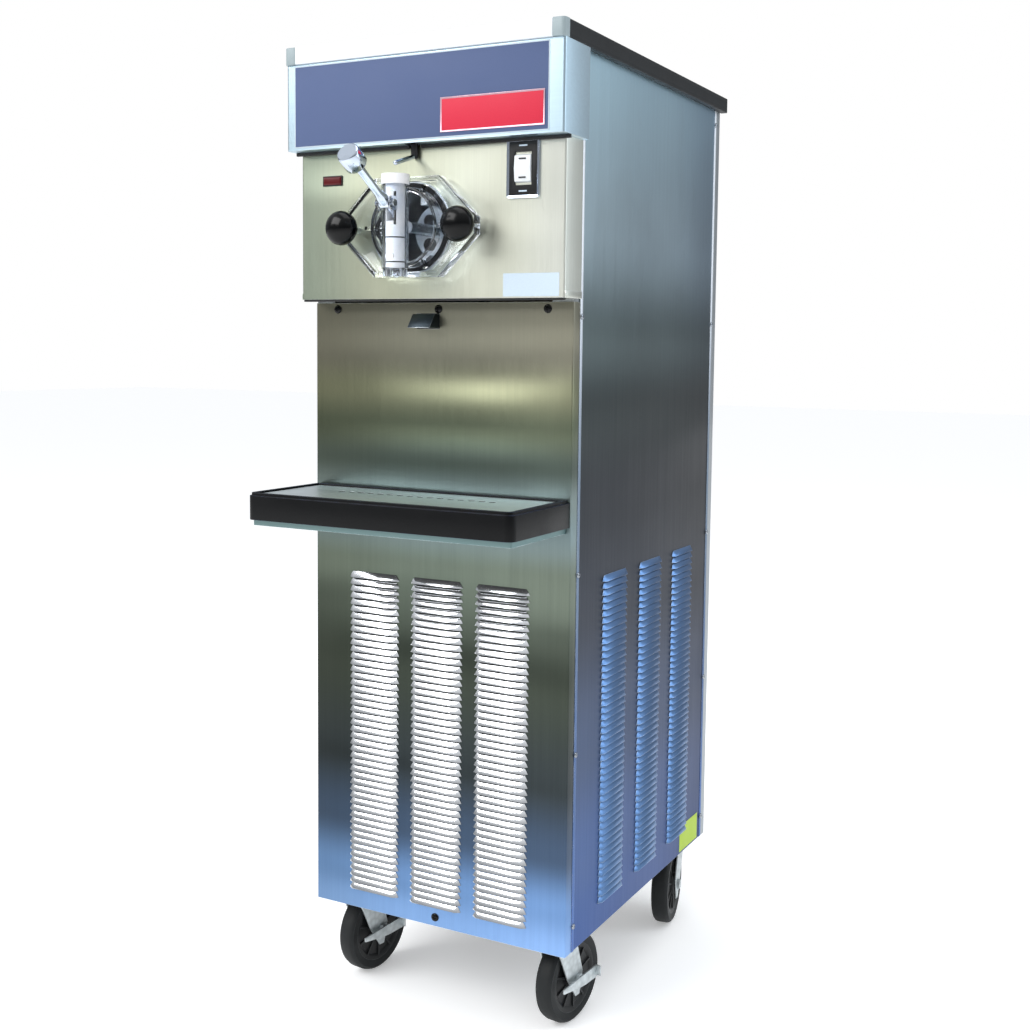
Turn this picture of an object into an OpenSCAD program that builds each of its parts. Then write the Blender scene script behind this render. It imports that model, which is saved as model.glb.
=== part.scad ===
// Floor-standing soft ice cream machine: stainless cabinet on casters, dispensing head,
// drip tray, and the freezing, driving and cooling parts that it holds inside.
// Millimetres, +Z up. The origin is on the floor under the middle of the whole machine.

/* [Cabinet] */
// Width of the cabinet over its side panels
cab_w = 413; // [370:1:500]
// Depth of the cabinet from lower front panel to rear panel
cab_d = 540; // [450:1:660]
// Height from the cabinet's bottom edge to the underside of the top trim
cab_h = 1211; // [1160:1:1460]
// Gap between the floor and the cabinet's bottom edge
ground_gap = 130; // [130:1:145]
// Thickness of the stainless sheet
sheet = 1.5; // [1:0.1:2]
// Depth of the side returns folded onto the front and rear panels
return_d = 18.5; // [14:0.5:24]
// Diameter of a panel screw's head
screw_d = 8; // [6:0.5:10]

/* [Head] */
// How far the head panel stands in front of the lower front panel
head_out = 31; // [26:1:40]
// Height of the head panel's bottom edge above the cabinet's bottom edge
head_z = 889; // [840:1:900]
// How much wider the head panel is than the cabinet, on each side
head_lip = 1.5; // [1:0.1:3]
// How far the header stands in front of the lower front panel
nose_out = 54; // [48:1:66]
// Height of the header's front face
nose_h = 117; // [100:1:130]
// How much wider the header is than the cabinet, on each side
nose_lip = 9.5; // [6:0.5:14]
// Thickness of the coloured fascia sheet
fascia_t = 0.8; // [0.6:0.1:1.5]
// Height of the top trim
trim_h = 23; // [18:1:30]
// Thickness of the front trim strip
trim_t = 4; // [3:0.5:6]

/* [Louvres] */
// Width of one louvre column
louvre_w = 84; // [60:1:90]
// Number of louvres in a column
louvre_n = 48; // [12:1:52]
// Distance from one louvre to the next
louvre_pitch = 9.85; // [8.5:0.05:10]
// How far a louvre stands out of its panel
louvre_out = 5.5; // [2:0.5:6]
// Height of the open mouth under a louvre
louvre_mouth = 4; // [1.5:0.1:4.5]
// Gap between two louvre columns on the front panel
front_gap = 20.5; // [12:0.5:30]
// Gap between two louvre columns on a side panel
side_gap = 46.6; // [20:0.1:60]

/* [Dispensing door] */
// Sideways place of the freezing cylinder and the door, from the cabinet's middle
door_x = -17; // [-40:1:40]
// Height of the door's centre above the cabinet's bottom edge
door_z = 983; // [975:1:1000]
// Half the width of the door across its side corners
door_half_w = 112; // [106:1:120]
// Half the height of the door
door_half_h = 66.5; // [62:0.5:72]
// Half the length of the door's level top and bottom edges
door_flat = 51; // [40:1:60]
// Thickness of the door's plate
door_t = 12; // [9:0.5:16]
// Distance of each stud from the door's centre
stud_x = 91; // [86:1:96]
// Diameter of the door's studs
stud_d = 9.5; // [8:0.5:12]
// Diameter of a ball knob
knob_d = 47; // [40:1:54]
// Outside diameter of the spout barrel
barrel_d = 36; // [33:1:42]
// Diameter of the bore that the plunger slides in
barrel_bore = 26; // [22:0.5:28]
// Distance of the barrel's axis in front of the door's plate
barrel_out = 29; // [27:1:36]

/* [Handle] */
// Length of the handle from its pivot to its tip
handle_l = 102; // [85:1:130]
// Angle of the handle above level at rest
handle_a = 32; // [24:1:38]
// Length of the inner arm, from the pivot to its ball
arm_l = 26; // [22:0.5:28]
// Diameter of the handle's rod
rod_d = 11; // [8:0.5:13]
// Diameter of the handle's knob
grip_d = 30; // [22:1:34]
// Diameter of the pivot pin
pin_d = 6; // [5:0.5:7]

/* [Tray] */
// How far the drip tray stands in front of the lower front panel
tray_out = 160; // [120:1:200]
// Width of the drip tray
tray_w = 410; // [340:1:440]
// Height of the tray's rim
tray_h = 37; // [28:1:50]
// Height of the tray's top above the cabinet's bottom edge
tray_z = 625; // [580:1:680]
// Thickness of the tray's wall
tray_t = 3; // [2:0.5:5]

/* [Freezing and drive] */
// Inside diameter of the freezing cylinder
cyl_d = 105; // [90:1:106]
// Length of the freezing cylinder behind the head panel
cyl_l = 361; // [300:1:380]
// Thickness of the freezing cylinder's wall
cyl_t = 3; // [2:0.5:4]
// Diameter of the dasher's shaft
shaft_d = 16; // [14:0.5:20]
// Diameter of the motor's pulley
motor_pulley_d = 70; // [56:1:90]
// Diameter of the gearbox's pulley
gear_pulley_d = 140; // [110:1:150]
// Height of the motor's shaft above the cabinet's bottom edge
motor_z = 640; // [560:1:700]
// Depth of the mix hopper below the deck
hopper_d = 117; // [90:1:125]

/* [Casters] */
// Diameter of a caster wheel
wheel_d = 127; // [100:1:130]
// Width of a caster wheel
wheel_w = 27; // [22:1:32]
// Diameter of the wheel's axle
axle_d = 10; // [8:0.5:12]
// Distance of the wheel's axle behind its swivel axis
trail = 34; // [30:1:40]
// Inset of the swivel axes from the cabinet's sides
caster_in = 40; // [39:0.5:70]

/* [Hidden] */
$fn = 64;

// Fits
run_gap = 0.05;     // running fit, on the radius
slide_gap = 0.3;    // loose sliding fit, on each side
pass_gap = 1;       // room round a part that passes through a sheet
eps = 0.5;          // how far a cut runs past the face it opens

// Cabinet
half_w = cab_w / 2;
nose_half = half_w + nose_lip;
head_half = half_w + head_lip;
trim_lip = 1.3;
trim_half = nose_half + trim_lip;
nose_z = cab_h - nose_h;
front_panel_top = head_z - 4;
deck_z = cab_h + trim_h - 7;
gland_out = 16;
gland_d = 26;
gland_hole = 10;
seam = 0.5;
side_y0 = return_d + seam;
side_y1 = cab_d - return_d - seam;
strip_w = 7;
strip_t = 0.8;
strip_y = side_y0 + strip_w / 2;
screw_z = [36, 276, 522, 866, cab_h - 23];
base_z = 20;
base_t = 2.5;
post_w = 30;
post_t = 2;

// Door, plunger and handle, measured from the lower front panel's face
gasket_t = 2;
flange_t = 8;
door_back = -(head_out + flange_t + gasket_t);
door_front = door_back - door_t;
rim_out = 5;
bowl_r = 48;
bowl_t = 4;
bowl_out = 12;
barrel_y = door_front - barrel_out;
barrel_z0 = door_z - 56;
barrel_z1 = door_z + 53;
nozzle_h = 11;
head_cap_h = 13.5;
pivot_y = barrel_y - 22;
pivot_z = door_z + 27;
arm_ball = 10;
arm_slot = arm_ball + 2.4;
lug_w = 8;
lug_t = 4;
ring_r = 1.6;
knob_thick = 34;
knob_y = door_front - 23;
knob_neck_r = 11;
ball_z = pivot_z - arm_l * sin(handle_a);
grip_chamfer = 2;
handle_reach = cos(handle_a) * handle_l + sin(handle_a) * (grip_d / 2 - grip_chamfer);
lever_y = -(head_out + 5);
lever_z = nose_z + 14;
lever_tip_z = barrel_z1 + head_cap_h + 15;

// Whole machine
reach_front = -pivot_y + handle_reach;
reach_back = cab_d + gland_out;
front_y = (reach_front - reach_back) / 2;

// Switch, lamp and drip drawer
switch_w = 48;
switch_h = 76;
switch_x = half_w - 59.5;
switch_z = nose_z - 1 - switch_h / 2;
rocker_w = 24;
rocker_h = 40;
lamp_w = 33;
lamp_h = 14;
lamp_x = -half_w + 52;
lamp_z = nose_z - 41;
drawer_w = 36;
drawer_h = 19;
drawer_x = door_x;
drawer_z = head_z - 39;
drawer_l = 150;
drawer_out = 25;

// Tray
tray_r = 12;
tray_x = 0;
insert_drop = 4;
insert_t = 1.5;
shelf_t = 8;
hole_pitch = 16;
hole_d = 10;
hole_count = 1 + floor((tray_w - 170) / hole_pitch);
hole_y = -tray_out * 0.36;

// Freezing and drive
cyl_back = cyl_l - head_out;
cyl_r = cyl_d / 2;
jacket_r = cyl_r + cyl_t + 34;
gearbox_y = cyl_back + 1;
gearbox_l = 94;
pulley_y = gearbox_y + gearbox_l + 15;
pulley_w = 16;
motor_l = 180;
motor_r = 75;
motor_back = gearbox_y + gearbox_l;
stub_d = 14;
stub_in = 14;
belt_t = 4;
hopper_w = cab_w - 113;
hopper_y0 = 70;
hopper_y1 = cab_d - 140;
hopper_z = deck_z - hopper_d;
feed_y = hopper_y0 + 40;
feed_d = 20;
feed_bore = 14;
lid_z = deck_z + sheet * 2 + slide_gap;
lid_h = 12;
lid_grip_h = 24;
cond_y = 26;
cond_t = 40;
cond_z0 = 60;
cond_h = 340;
fan_r = 120;
fan_y = cond_y + cond_t + 18;
fan_z = cond_z0 + cond_h / 2 - 20;
dasher_start = -10;
dasher_front = 30;
dasher_end = cyl_back - 16;
bar_r = cyl_r - 14;

// Casters
axle_z = wheel_d / 2 - ground_gap;
plate_w = 66;
plate_l = 80;
caster_end_in = 48;
plate_t = 3;
race_h = 8;
race_r = 27;
fork_top = base_z - plate_t - race_h;
fork_t = 3;
fork_gap = 2;
fork_half = wheel_w / 2 + fork_gap;
front_caster_y = caster_end_in;
rear_caster_y = cab_d - caster_end_in;
front_turn = -8;
rear_turn = 190;
brake_pad = 16;

module box(a, b) translate(a) cube(b - a);

// Everything is drawn from the lower front panel's bottom middle edge, then moved as one.
module cab() translate([0, front_y, ground_gap]) children();

// A cylinder along +Y from y0 to y1 round the given X and Z
module rod_y(x, z, r, y0, y1) translate([x, y1, z]) rotate([90, 0, 0]) cylinder(r = r, h = y1 - y0);

// A cylinder along +X from x0 to x1 round the given Y and Z
module rod_x(y, z, r, x0, x1) translate([x0, y, z]) rotate([0, 90, 0]) cylinder(r = r, h = x1 - x0);

// A flat rectangle with round corners
module round_rect(w, h, r) {
    square([w - 2 * r, h], center = true);
    square([w, h - 2 * r], center = true);
    for (x = [-1, 1], y = [-1, 1]) translate([x * (w / 2 - r), y * (h / 2 - r)]) circle(r);
}

// Louvre slats across one column: hinged at the top, standing out at the bottom
module slats(w, n) rotate([90, 0, 90]) linear_extrude(w) for (i = [0 : n - 1])
    translate([0, i * louvre_pitch]) polygon([
        [-louvre_out, louvre_mouth], [sheet - louvre_out, louvre_mouth],
        [sheet, louvre_pitch], [0, louvre_pitch]]);

// A sheet in the XZ plane with its outer face at y = 0, and louvre columns let into it
module vented_sheet(x0, x1, z0, z1, columns, louvre_z, n) {
    difference() {
        box([x0, 0, z0], [x1, sheet, z1]);
        for (x = columns)
            box([x, -1, louvre_z], [x + louvre_w, sheet + 1, louvre_z + n * louvre_pitch]);
    }
    for (x = columns) translate([x - eps, 0, louvre_z]) slats(louvre_w + 2 * eps, n);
}

function spread(middle, gap) = [for (i = [-1 : 1]) middle - louvre_w / 2 + i * (louvre_w + gap)];

module side_returns(y0, y1, half, z0, z1)
    for (x = [-half, half - sheet]) box([x, y0, z0], [x + sheet, y1, z1]);

module screw_head() rotate_extrude() intersection() {
    translate([0, -screw_d * 0.55]) circle(screw_d * 0.74);
    square([screw_d / 2, screw_d]);
}

// Sheet-metal body ----------------------------------------------------------

module base_frame() color("dimgray") cab() {
    inner = half_w - sheet;
    box([-inner, sheet, base_z], [inner, cab_d - sheet, base_z + base_t]);
    for (s = [-1, 1]) {
        box([s * inner - (s > 0 ? 3 : 0), sheet, 2], [s * inner + (s > 0 ? 0 : 3), cab_d - sheet, base_z]);
        box([-inner, s > 0 ? cab_d - sheet - 3 : sheet, 2],
            [inner, s > 0 ? cab_d - sheet : sheet + 3, base_z]);
    }
}

module corner_posts() color("gray") cab() for (sx = [0, 1], sy = [0, 1])
    translate([0, sy * cab_d, 0]) mirror([sx, 0, 0]) mirror([0, sy, 0])
        translate([-half_w + sheet, sheet, base_z + base_t]) difference() {
            cube([post_w, post_w, cab_h - 1 - base_z - base_t]);
            translate([post_t, post_t, -1]) cube([post_w, post_w, cab_h]);
        }

module front_panel() color("lightsteelblue") cab() difference() {
    union() {
        vented_sheet(-half_w, half_w, 0, front_panel_top, spread(0, front_gap), 27, louvre_n);
        side_returns(0, return_d, half_w, 0, front_panel_top);
    }
    translate([drawer_x - drawer_w / 2 - pass_gap, -1, drawer_z - pass_gap])
        cube([drawer_w + 2 * pass_gap, sheet + 2, drawer_h + 2 * pass_gap]);
}

module side_panel() translate([half_w, 0, 0]) rotate([0, 0, 90]) {
    middle = 103.5 + louvre_w * 1.5 + side_gap;
    vented_sheet(side_y0, side_y1, 0, cab_h, spread(middle, side_gap), 36, louvre_n);
    for (x = [side_y0, side_y1 - strip_w]) box([x, -strip_t, 0], [x + strip_w, sheet / 2, cab_h]);
}

module right_side_panel() color("slategray") cab() side_panel();
module left_side_panel() color("slategray") cab() mirror([1, 0, 0]) side_panel();

module rear_panel() color("silver") cab() translate([0, cab_d, 0]) mirror([0, 1, 0]) difference() {
    union() {
        vented_sheet(-half_w, half_w, 0, cab_h, spread(0, front_gap), 420, 24);
        side_returns(0, return_d, half_w, 0, cab_h);
    }
    rod_y(-half_w + 80, 120, gland_d / 2 - 4, -5, 5);
}

module head_panel() color("tan") cab() difference() {
    union() {
        box([-head_half, -head_out, head_z], [head_half, sheet - head_out, nose_z + 60]);
        side_returns(-head_out, return_d, head_half, head_z, nose_z - 0.2);
        box([-head_half, -head_out, head_z], [head_half, -seam, head_z + sheet]);
    }
    rod_y(door_x, door_z, cyl_r + cyl_t + pass_gap, -head_out - 5, 5 - head_out);
    for (s = [-1, 1])
        rod_y(door_x + s * stud_x, door_z, stud_d / 2 + pass_gap, -head_out - 5, 5 - head_out);
    translate([switch_x, -head_out, switch_z]) cube([rocker_w + 8, 10, rocker_h + 8], center = true);
    translate([lamp_x, -head_out, lamp_z]) cube([lamp_w - 4, 10, lamp_h - 4], center = true);
}

module header_shell() color("gainsboro") cab() difference() {
    union() {
        box([-nose_half, -nose_out, nose_z], [nose_half, sheet - nose_out, cab_h]);
        side_returns(-nose_out, return_d, nose_half, nose_z, cab_h);
        box([-nose_half, -nose_out, nose_z], [nose_half, -head_out - 0.1, nose_z + sheet]);
        for (s = [-1, 1]) {
            inner = s * (half_w - 1);
            outer = s * nose_half;
            box([min(inner, outer), return_d - sheet, nose_z], [max(inner, outer), return_d, cab_h]);
            low = s * (head_half + 0.2);
            box([min(low, outer), -head_out - 1, nose_z], [max(low, outer), return_d, nose_z + sheet]);
        }
    }
    box([door_x - 9, -head_out - 20, nose_z - 1], [door_x + 9, -head_out + 1, nose_z + sheet + 1]);
}

module header_fascia() color("slateblue") cab()
    box([-nose_half + 15, -nose_out - fascia_t, nose_z + 5], [nose_half - 23, -nose_out, cab_h - 4]);

module deck_panel() color("silver") cab() difference() {
    union() {
        box([-half_w, -nose_out, deck_z - sheet], [half_w, cab_d, deck_z]);
        side_returns(-nose_out + sheet, cab_d, half_w, cab_h + 0.2, deck_z - sheet / 2);
        for (y = [-nose_out, cab_d - sheet])
            box([-half_w, y, cab_h + 0.2], [half_w, y + sheet, deck_z]);
    }
    box([-hopper_w / 2 - pass_gap, hopper_y0 - pass_gap, deck_z - 5],
        [hopper_w / 2 + pass_gap, hopper_y1 + pass_gap, deck_z + 5]);
}

cap_w = 18;
cap_l = 14;

module front_trim() color("white") cab()
    box([-trim_half + cap_w, -nose_out - trim_t, cab_h], [trim_half - cap_w, -nose_out, cab_h + trim_h]);

module side_trims() color("black") cab() for (s = [0, 1]) mirror([s, 0, 0])
    box([half_w, -nose_out - trim_t + cap_l, cab_h + 0.1], [trim_half, cab_d + 4, cab_h + trim_h]);

module trim_corner_caps() color("darkgray") cab() for (s = [0, 1]) mirror([s, 0, 0])
    translate([trim_half, -nose_out - trim_t, cab_h]) linear_extrude(trim_h + 0.5) difference() {
        union() {
            translate([-6, 6]) circle(6);
            translate([-cap_w, 0]) square([cap_w - 6, 6]);
            translate([-6, 6]) square([6, cap_l - 6]);
            translate([-trim_lip - nose_lip, 0]) square([trim_lip + nose_lip - 6, cap_l]);
            translate([-trim_lip - nose_lip, 6]) square([trim_lip + nose_lip, cap_l - 6]);
        }
        translate([-cap_w - 1, trim_t]) square([cap_w + 1 - trim_lip - nose_lip, cap_l]);
    }

module panel_screws() color("dimgray") cab() {
    for (s = [-1, 1], z = screw_z, y = [strip_y, cab_d - strip_y])
        translate([s * (half_w + strip_t), y, z]) rotate([0, s * 90, 0]) screw_head();
    for (x = [-half_w + 38, 0, half_w - 38])
        translate([x, 0, front_panel_top - 9]) rotate([90, 0, 0]) screw_head();
    translate([0, 0, 13]) rotate([90, 0, 0]) screw_head();
    for (x = [-half_w + 20, half_w - 20], z = [40, cab_h / 2, cab_h - 40])
        translate([x, cab_d, z]) rotate([-90, 0, 0]) screw_head();
}

// Mix hopper ----------------------------------------------------------------

module hopper() color("silver") cab() difference() {
    union() {
        box([-hopper_w / 2, hopper_y0, hopper_z], [hopper_w / 2, hopper_y1, deck_z + sheet]);
        box([-hopper_w / 2 - 12, hopper_y0 - 12, deck_z],
            [hopper_w / 2 + 12, hopper_y1 + 12, deck_z + sheet]);
    }
    box([sheet - hopper_w / 2, hopper_y0 + sheet, hopper_z + sheet],
        [hopper_w / 2 - sheet, hopper_y1 - sheet, deck_z + 5]);
    translate([door_x, feed_y, hopper_z - 1]) cylinder(d = feed_d + 2 * run_gap, h = sheet + 2);
}

module hopper_lid() color("gray") cab() {
    difference() {
        box([-hopper_w / 2 - 16, hopper_y0 - 16, lid_z],
            [hopper_w / 2 + 16, hopper_y1 + 16, lid_z + lid_h]);
        box([-hopper_w / 2 - 14, hopper_y0 - 14, lid_z - 1],
            [hopper_w / 2 + 14, hopper_y1 + 14, lid_z + lid_h - 2]);
    }
    middle = (hopper_y0 + hopper_y1) / 2;
    top = lid_z + lid_h;
    for (s = [-1, 1]) translate([s * 50, middle, top - 0.5]) cylinder(d = 12, h = lid_grip_h);
    rod_x(middle, top + lid_grip_h - 4, 5, -58, 58);
}

module mix_feed_tube() color("gainsboro") cab() translate([door_x, feed_y, door_z + cyl_r + 1])
    difference() {
        cylinder(d = feed_d, h = deck_z - 40 - door_z - cyl_r);
        translate([0, 0, -1]) cylinder(d = feed_bore, h = cab_h);
    }

// Freezing cylinder and dasher ----------------------------------------------

module freezing_cylinder() color("silver") cab() difference() {
    union() {
        rod_y(door_x, door_z, cyl_r + cyl_t, -head_out - flange_t, cyl_back);
        rod_y(door_x, door_z, cyl_r + cyl_t + 8, -head_out - flange_t, -head_out);
        box([door_x - stud_x - 14, 4 - head_out, door_z - 14],
            [door_x + stud_x + 14, 12 - head_out, door_z + 14]);
        for (s = [-1, 1]) rod_y(door_x + s * stud_x, door_z, stud_d / 2, knob_y - 8, 8 - head_out);
    }
    rod_y(door_x, door_z, cyl_r, -head_out - flange_t - 1, cyl_back - 6);
    rod_y(door_x, door_z, shaft_d / 2 + pass_gap, cyl_back - 10, cyl_back + 1);
    translate([door_x, feed_y, door_z + cyl_r - 5]) cylinder(d = feed_d + 2 * run_gap, h = 10);
}

module insulation_jacket() color("khaki") cab() difference() {
    rod_y(door_x, door_z, jacket_r, 16 - head_out, cyl_back - 6);
    rod_y(door_x, door_z, cyl_r + cyl_t + run_gap, 15 - head_out, cyl_back - 5);
    translate([door_x, feed_y, door_z]) cylinder(d = feed_d + 2 * run_gap, h = jacket_r + 5);
}

module dasher() color("whitesmoke") cab() {
    rod_y(door_x, door_z, shaft_d / 2, door_front + 2, gearbox_y + 26);
    for (y = [dasher_front, (cyl_back + dasher_front) / 2, dasher_end - 8]) difference() {
        rod_y(door_x, door_z, bar_r, y, y + 8);
        for (a = [45 : 90 : 315]) translate([door_x, 0, door_z]) rotate([0, a, 0])
            rod_y(0, (bar_r + shaft_d / 2) / 2, 9, y - 1, y + 9);
    }
    for (a = [0, 180]) translate([door_x, 0, door_z]) rotate([0, a, 0])
        box([-5, dasher_start, bar_r - 5], [5, dasher_end, bar_r + 5]);
}

module scraper_blades() color("white") cab() for (a = [0, 180])
    translate([door_x, 0, door_z]) rotate([0, a, 0])
        box([-2, dasher_start, bar_r + 5], [2, dasher_end, cyl_r - pass_gap]);

// Dispensing door -----------------------------------------------------------

corner_cut = 6;

// The door's outline, pulled in by the given amount on every edge
module door_outline(inset) {
    w = door_half_w - inset * 1.4;
    h = door_half_h - inset;
    f = door_flat - inset * 0.4;
    cut = corner_cut * h / door_half_h;
    polygon([[f, h], [w - cut, cut], [w - cut, -cut], [f, -h],
        [-f, -h], [cut - w, -cut], [cut - w, cut], [-f, h]]);
}

module door_shape(inset, y0, y1)
    translate([door_x, y1, door_z]) rotate([90, 0, 0]) linear_extrude(y1 - y0) door_outline(inset);

module dispense_door() color("lightblue", 0.5) cab() difference() {
    union() {
        door_shape(0, door_front, door_back);
        difference() {
            door_shape(0, door_front - rim_out, door_front + 0.1);
            door_shape(7, door_front - rim_out - 1, door_front + 1);
        }
        rod_y(door_x, door_z, bowl_r + bowl_t, door_front - bowl_out, door_front + 0.1);
        for (a = [0 : 60 : 300]) translate([door_x, 0, door_z]) rotate([0, a + 30, 0])
            box([-2.5, door_front - 9, bowl_r], [2.5, door_front + 0.1, door_half_h - 4]);
        translate([door_x, barrel_y, barrel_z0]) cylinder(d = barrel_d, h = barrel_z1 - barrel_z0);
        translate([door_x, barrel_y, barrel_z0 - nozzle_h]) cylinder(d = barrel_d - 3, h = nozzle_h + 1);
        box([door_x - 9, barrel_y, barrel_z0 + 4],
            [door_x + 9, door_front - bowl_out + 0.1, barrel_z1 - 6]);
        for (s = [-1, 1]) hull() {
            x = door_x + s * (lug_w + lug_t / 2);
            rod_x(pivot_y, pivot_z, 7, x - lug_t / 2, x + lug_t / 2);
            rod_x(barrel_y - 8, pivot_z, 9, x - lug_t / 2, x + lug_t / 2);
        }
    }
    rod_y(door_x, door_z, bowl_r, door_front - bowl_out + bowl_t, door_back + 1);
    translate([door_x, barrel_y, barrel_z0]) cylinder(d = barrel_bore, h = barrel_z1 - barrel_z0 + 1);
    translate([door_x, barrel_y, barrel_z0 - nozzle_h - 1]) {
        cylinder(d = barrel_bore - 11, h = nozzle_h + 5);
        for (a = [0 : 60 : 300]) rotate([0, 0, a]) translate([0, -2, 0]) cube([10.5, 4, nozzle_h + 5]);
    }
    rod_y(door_x, barrel_z0 + 15, 6, barrel_y, door_front - bowl_out + bowl_t + 1);
    box([door_x - lug_w, barrel_y - barrel_d, pivot_z - 27], [door_x + lug_w, barrel_y, pivot_z + 16]);
    rod_x(pivot_y, pivot_z, pin_d / 2, door_x - 20, door_x + 20);
    for (s = [-1, 1]) {
        rod_y(door_x + s * stud_x, door_z, stud_d / 2 + slide_gap, door_front - 20, door_back + 1);
        rod_y(door_x + s * stud_x, door_z, knob_neck_r + pass_gap, door_front - 20, door_front);
    }
}

module door_gasket() color("black") cab() difference() {
    rod_y(door_x, door_z, cyl_r + cyl_t + 5, door_back, door_back + gasket_t);
    rod_y(door_x, door_z, cyl_r + 1, door_back - 1, door_back + gasket_t + 1);
}

module knob() difference() {
    union() {
        rotate([90, 0, 0]) rotate_extrude()
            polygon([for (a = [-90 : 7.5 : 90]) [cos(a) * knob_d / 2, sin(a) * knob_thick / 2]]);
        rod_y(0, 0, knob_neck_r, 0, door_front - slide_gap - knob_y);
    }
    rod_y(0, 0, stud_d / 2 + run_gap, -10, door_front + 10 - knob_y);
}

module left_knob() color("black") cab() translate([door_x - stud_x, knob_y, door_z]) knob();
module right_knob() color("black") cab() translate([door_x + stud_x, knob_y, door_z]) knob();

plunger_r = barrel_bore / 2 - slide_gap;
ring_z = [barrel_z0 + 8, barrel_z0 + 40];

module ring(z) translate([0, 0, z]) rotate_extrude()
    translate([barrel_bore / 2 - run_gap - ring_r, 0]) circle(ring_r);

module plunger() color("white") cab() translate([door_x, barrel_y, 0]) difference() {
    union() {
        translate([0, 0, barrel_z0 + 1]) cylinder(r = plunger_r, h = barrel_z1 - barrel_z0);
        translate([0, 0, barrel_z1 + slide_gap])
            cylinder(d = barrel_d + 1, h = head_cap_h - slide_gap);
    }
    translate([-lug_w + 1, 0, ball_z]) rotate([90, 0, 90]) linear_extrude(2 * lug_w - 2) polygon([
        [-barrel_bore * 0.6, -arm_slot * 0.8], [-3, -arm_slot / 2], [plunger_r - 3, -arm_slot / 2],
        [plunger_r - 3, arm_slot / 2], [0, arm_slot / 2], [-barrel_bore * 0.6, arm_slot * 1.25]]);
    for (z = ring_z) ring(z);
}

module plunger_rings() color("black") cab() translate([door_x, barrel_y, 0]) for (z = ring_z) ring(z);

module dispense_handle() color("silver") cab() translate([door_x, pivot_y, pivot_z]) {
    difference() {
        union() {
            rod_x(0, 0, 7, slide_gap - lug_w, lug_w - slide_gap);
            rotate([90 - handle_a, 0, 0]) {
                cylinder(d = rod_d, h = handle_l - 20);
                translate([0, 0, 8]) cylinder(d1 = rod_d + 5, d2 = rod_d, h = 14);
                translate([0, 0, handle_l - 27]) cylinder(d1 = grip_d - 5, d2 = grip_d, h = 3);
                translate([0, 0, handle_l - 24]) cylinder(d = grip_d, h = 24 - grip_chamfer);
                translate([0, 0, handle_l - grip_chamfer])
                    cylinder(d1 = grip_d, d2 = grip_d - 2 * grip_chamfer, h = grip_chamfer);
            }
            rotate([-90 - handle_a, 0, 0]) cylinder(d = 8, h = arm_l);
            rotate([-90 - handle_a, 0, 0]) translate([0, 0, arm_l]) sphere(d = arm_ball);
        }
        rod_x(0, 0, pin_d / 2 + run_gap, -20, 20);
    }
}

module handle_pivot_pin() color("dimgray") cab() {
    half = lug_w + lug_t;
    rod_x(pivot_y, pivot_z, pin_d / 2, door_x - half, door_x + half);
    for (s = [-1, 1]) {
        head_x = door_x + s * (half + 1.5);
        rod_x(pivot_y, pivot_z, 5, head_x - 1.5, head_x + 1.5);
    }
}

module draw_switch_lever() color("dimgray") cab() translate([door_x, 0, 0]) {
    rod_x(lever_y, lever_z, 5, -7, 7);
    strap_z = lever_tip_z + 14;
    box([-5, lever_y - 1.5, strap_z - 3], [5, lever_y + 1.5, lever_z]);
    run = lever_y - barrel_y;
    drop = strap_z - lever_tip_z;
    translate([0, lever_y, strap_z]) rotate([90 + atan2(drop, run), 0, 0]) {
        cylinder(r = 3, h = norm([run, drop]));
        translate([0, 0, norm([run, drop])]) sphere(r = 3);
    }
}

// Switch, lamp and drip drawer ------------------------------------------------

module switch_bezel() color("black") cab() translate([switch_x, -head_out, switch_z]) difference() {
    union() {
        rotate([90, 0, 0]) linear_extrude(3.5) round_rect(switch_w, switch_h, 3);
        translate([-rocker_w / 2 - 3, -1, -rocker_h / 2 - 3]) cube([rocker_w + 6, 14, rocker_h + 6]);
    }
    translate([-rocker_w / 2 - slide_gap, -10, -rocker_h / 2 - slide_gap - 1])
        cube([rocker_w + 2 * slide_gap, 21, rocker_h + 2 * slide_gap + 2]);
}

module switch_rocker() color("white") cab() translate([switch_x, -head_out, switch_z])
    rotate([90, 0, 90]) translate([0, 0, -rocker_w / 2]) linear_extrude(rocker_w)
        polygon([[-5, -rocker_h / 2], [-3, 0], [-5, rocker_h / 2],
            [4, rocker_h / 2 - 4], [6, 0], [4, 4 - rocker_h / 2]]);

module indicator_lens() color("darkred") cab() translate([lamp_x, -head_out, lamp_z]) {
    translate([-lamp_w / 2 + 2 + slide_gap, -1, -lamp_h / 2 + 2 + slide_gap])
        cube([lamp_w - 4 - 2 * slide_gap, 10, lamp_h - 4 - 2 * slide_gap]);
    rotate([90, 0, 0]) linear_extrude(3) square([lamp_w, lamp_h], center = true);
}

module drip_drawer() color("silver") cab() translate([drawer_x, 0, drawer_z]) difference() {
    rotate([90, 0, 90]) translate([0, 0, -drawer_w / 2]) linear_extrude(drawer_w)
        polygon([[-drawer_out, 0], [drawer_l, 0], [drawer_l, drawer_h], [-drawer_out + 14, drawer_h]]);
    rotate([90, 0, 90]) translate([0, 0, sheet - drawer_w / 2]) linear_extrude(drawer_w - 2 * sheet)
        polygon([[-drawer_out + 2 * sheet, sheet], [drawer_l - sheet, sheet],
            [drawer_l - sheet, drawer_h + 1], [-drawer_out + 16 + sheet, drawer_h + 1]]);
}

// Drip tray -------------------------------------------------------------------

module tray_plan(inset) translate([tray_x, -tray_out / 2]) {
    round_rect(tray_w - 2 * inset, tray_out - 2 * inset, tray_r - inset);
    if (inset == 0) translate([-tray_w / 2, tray_out / 2 - tray_r]) square([tray_w, tray_r]);
}

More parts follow.
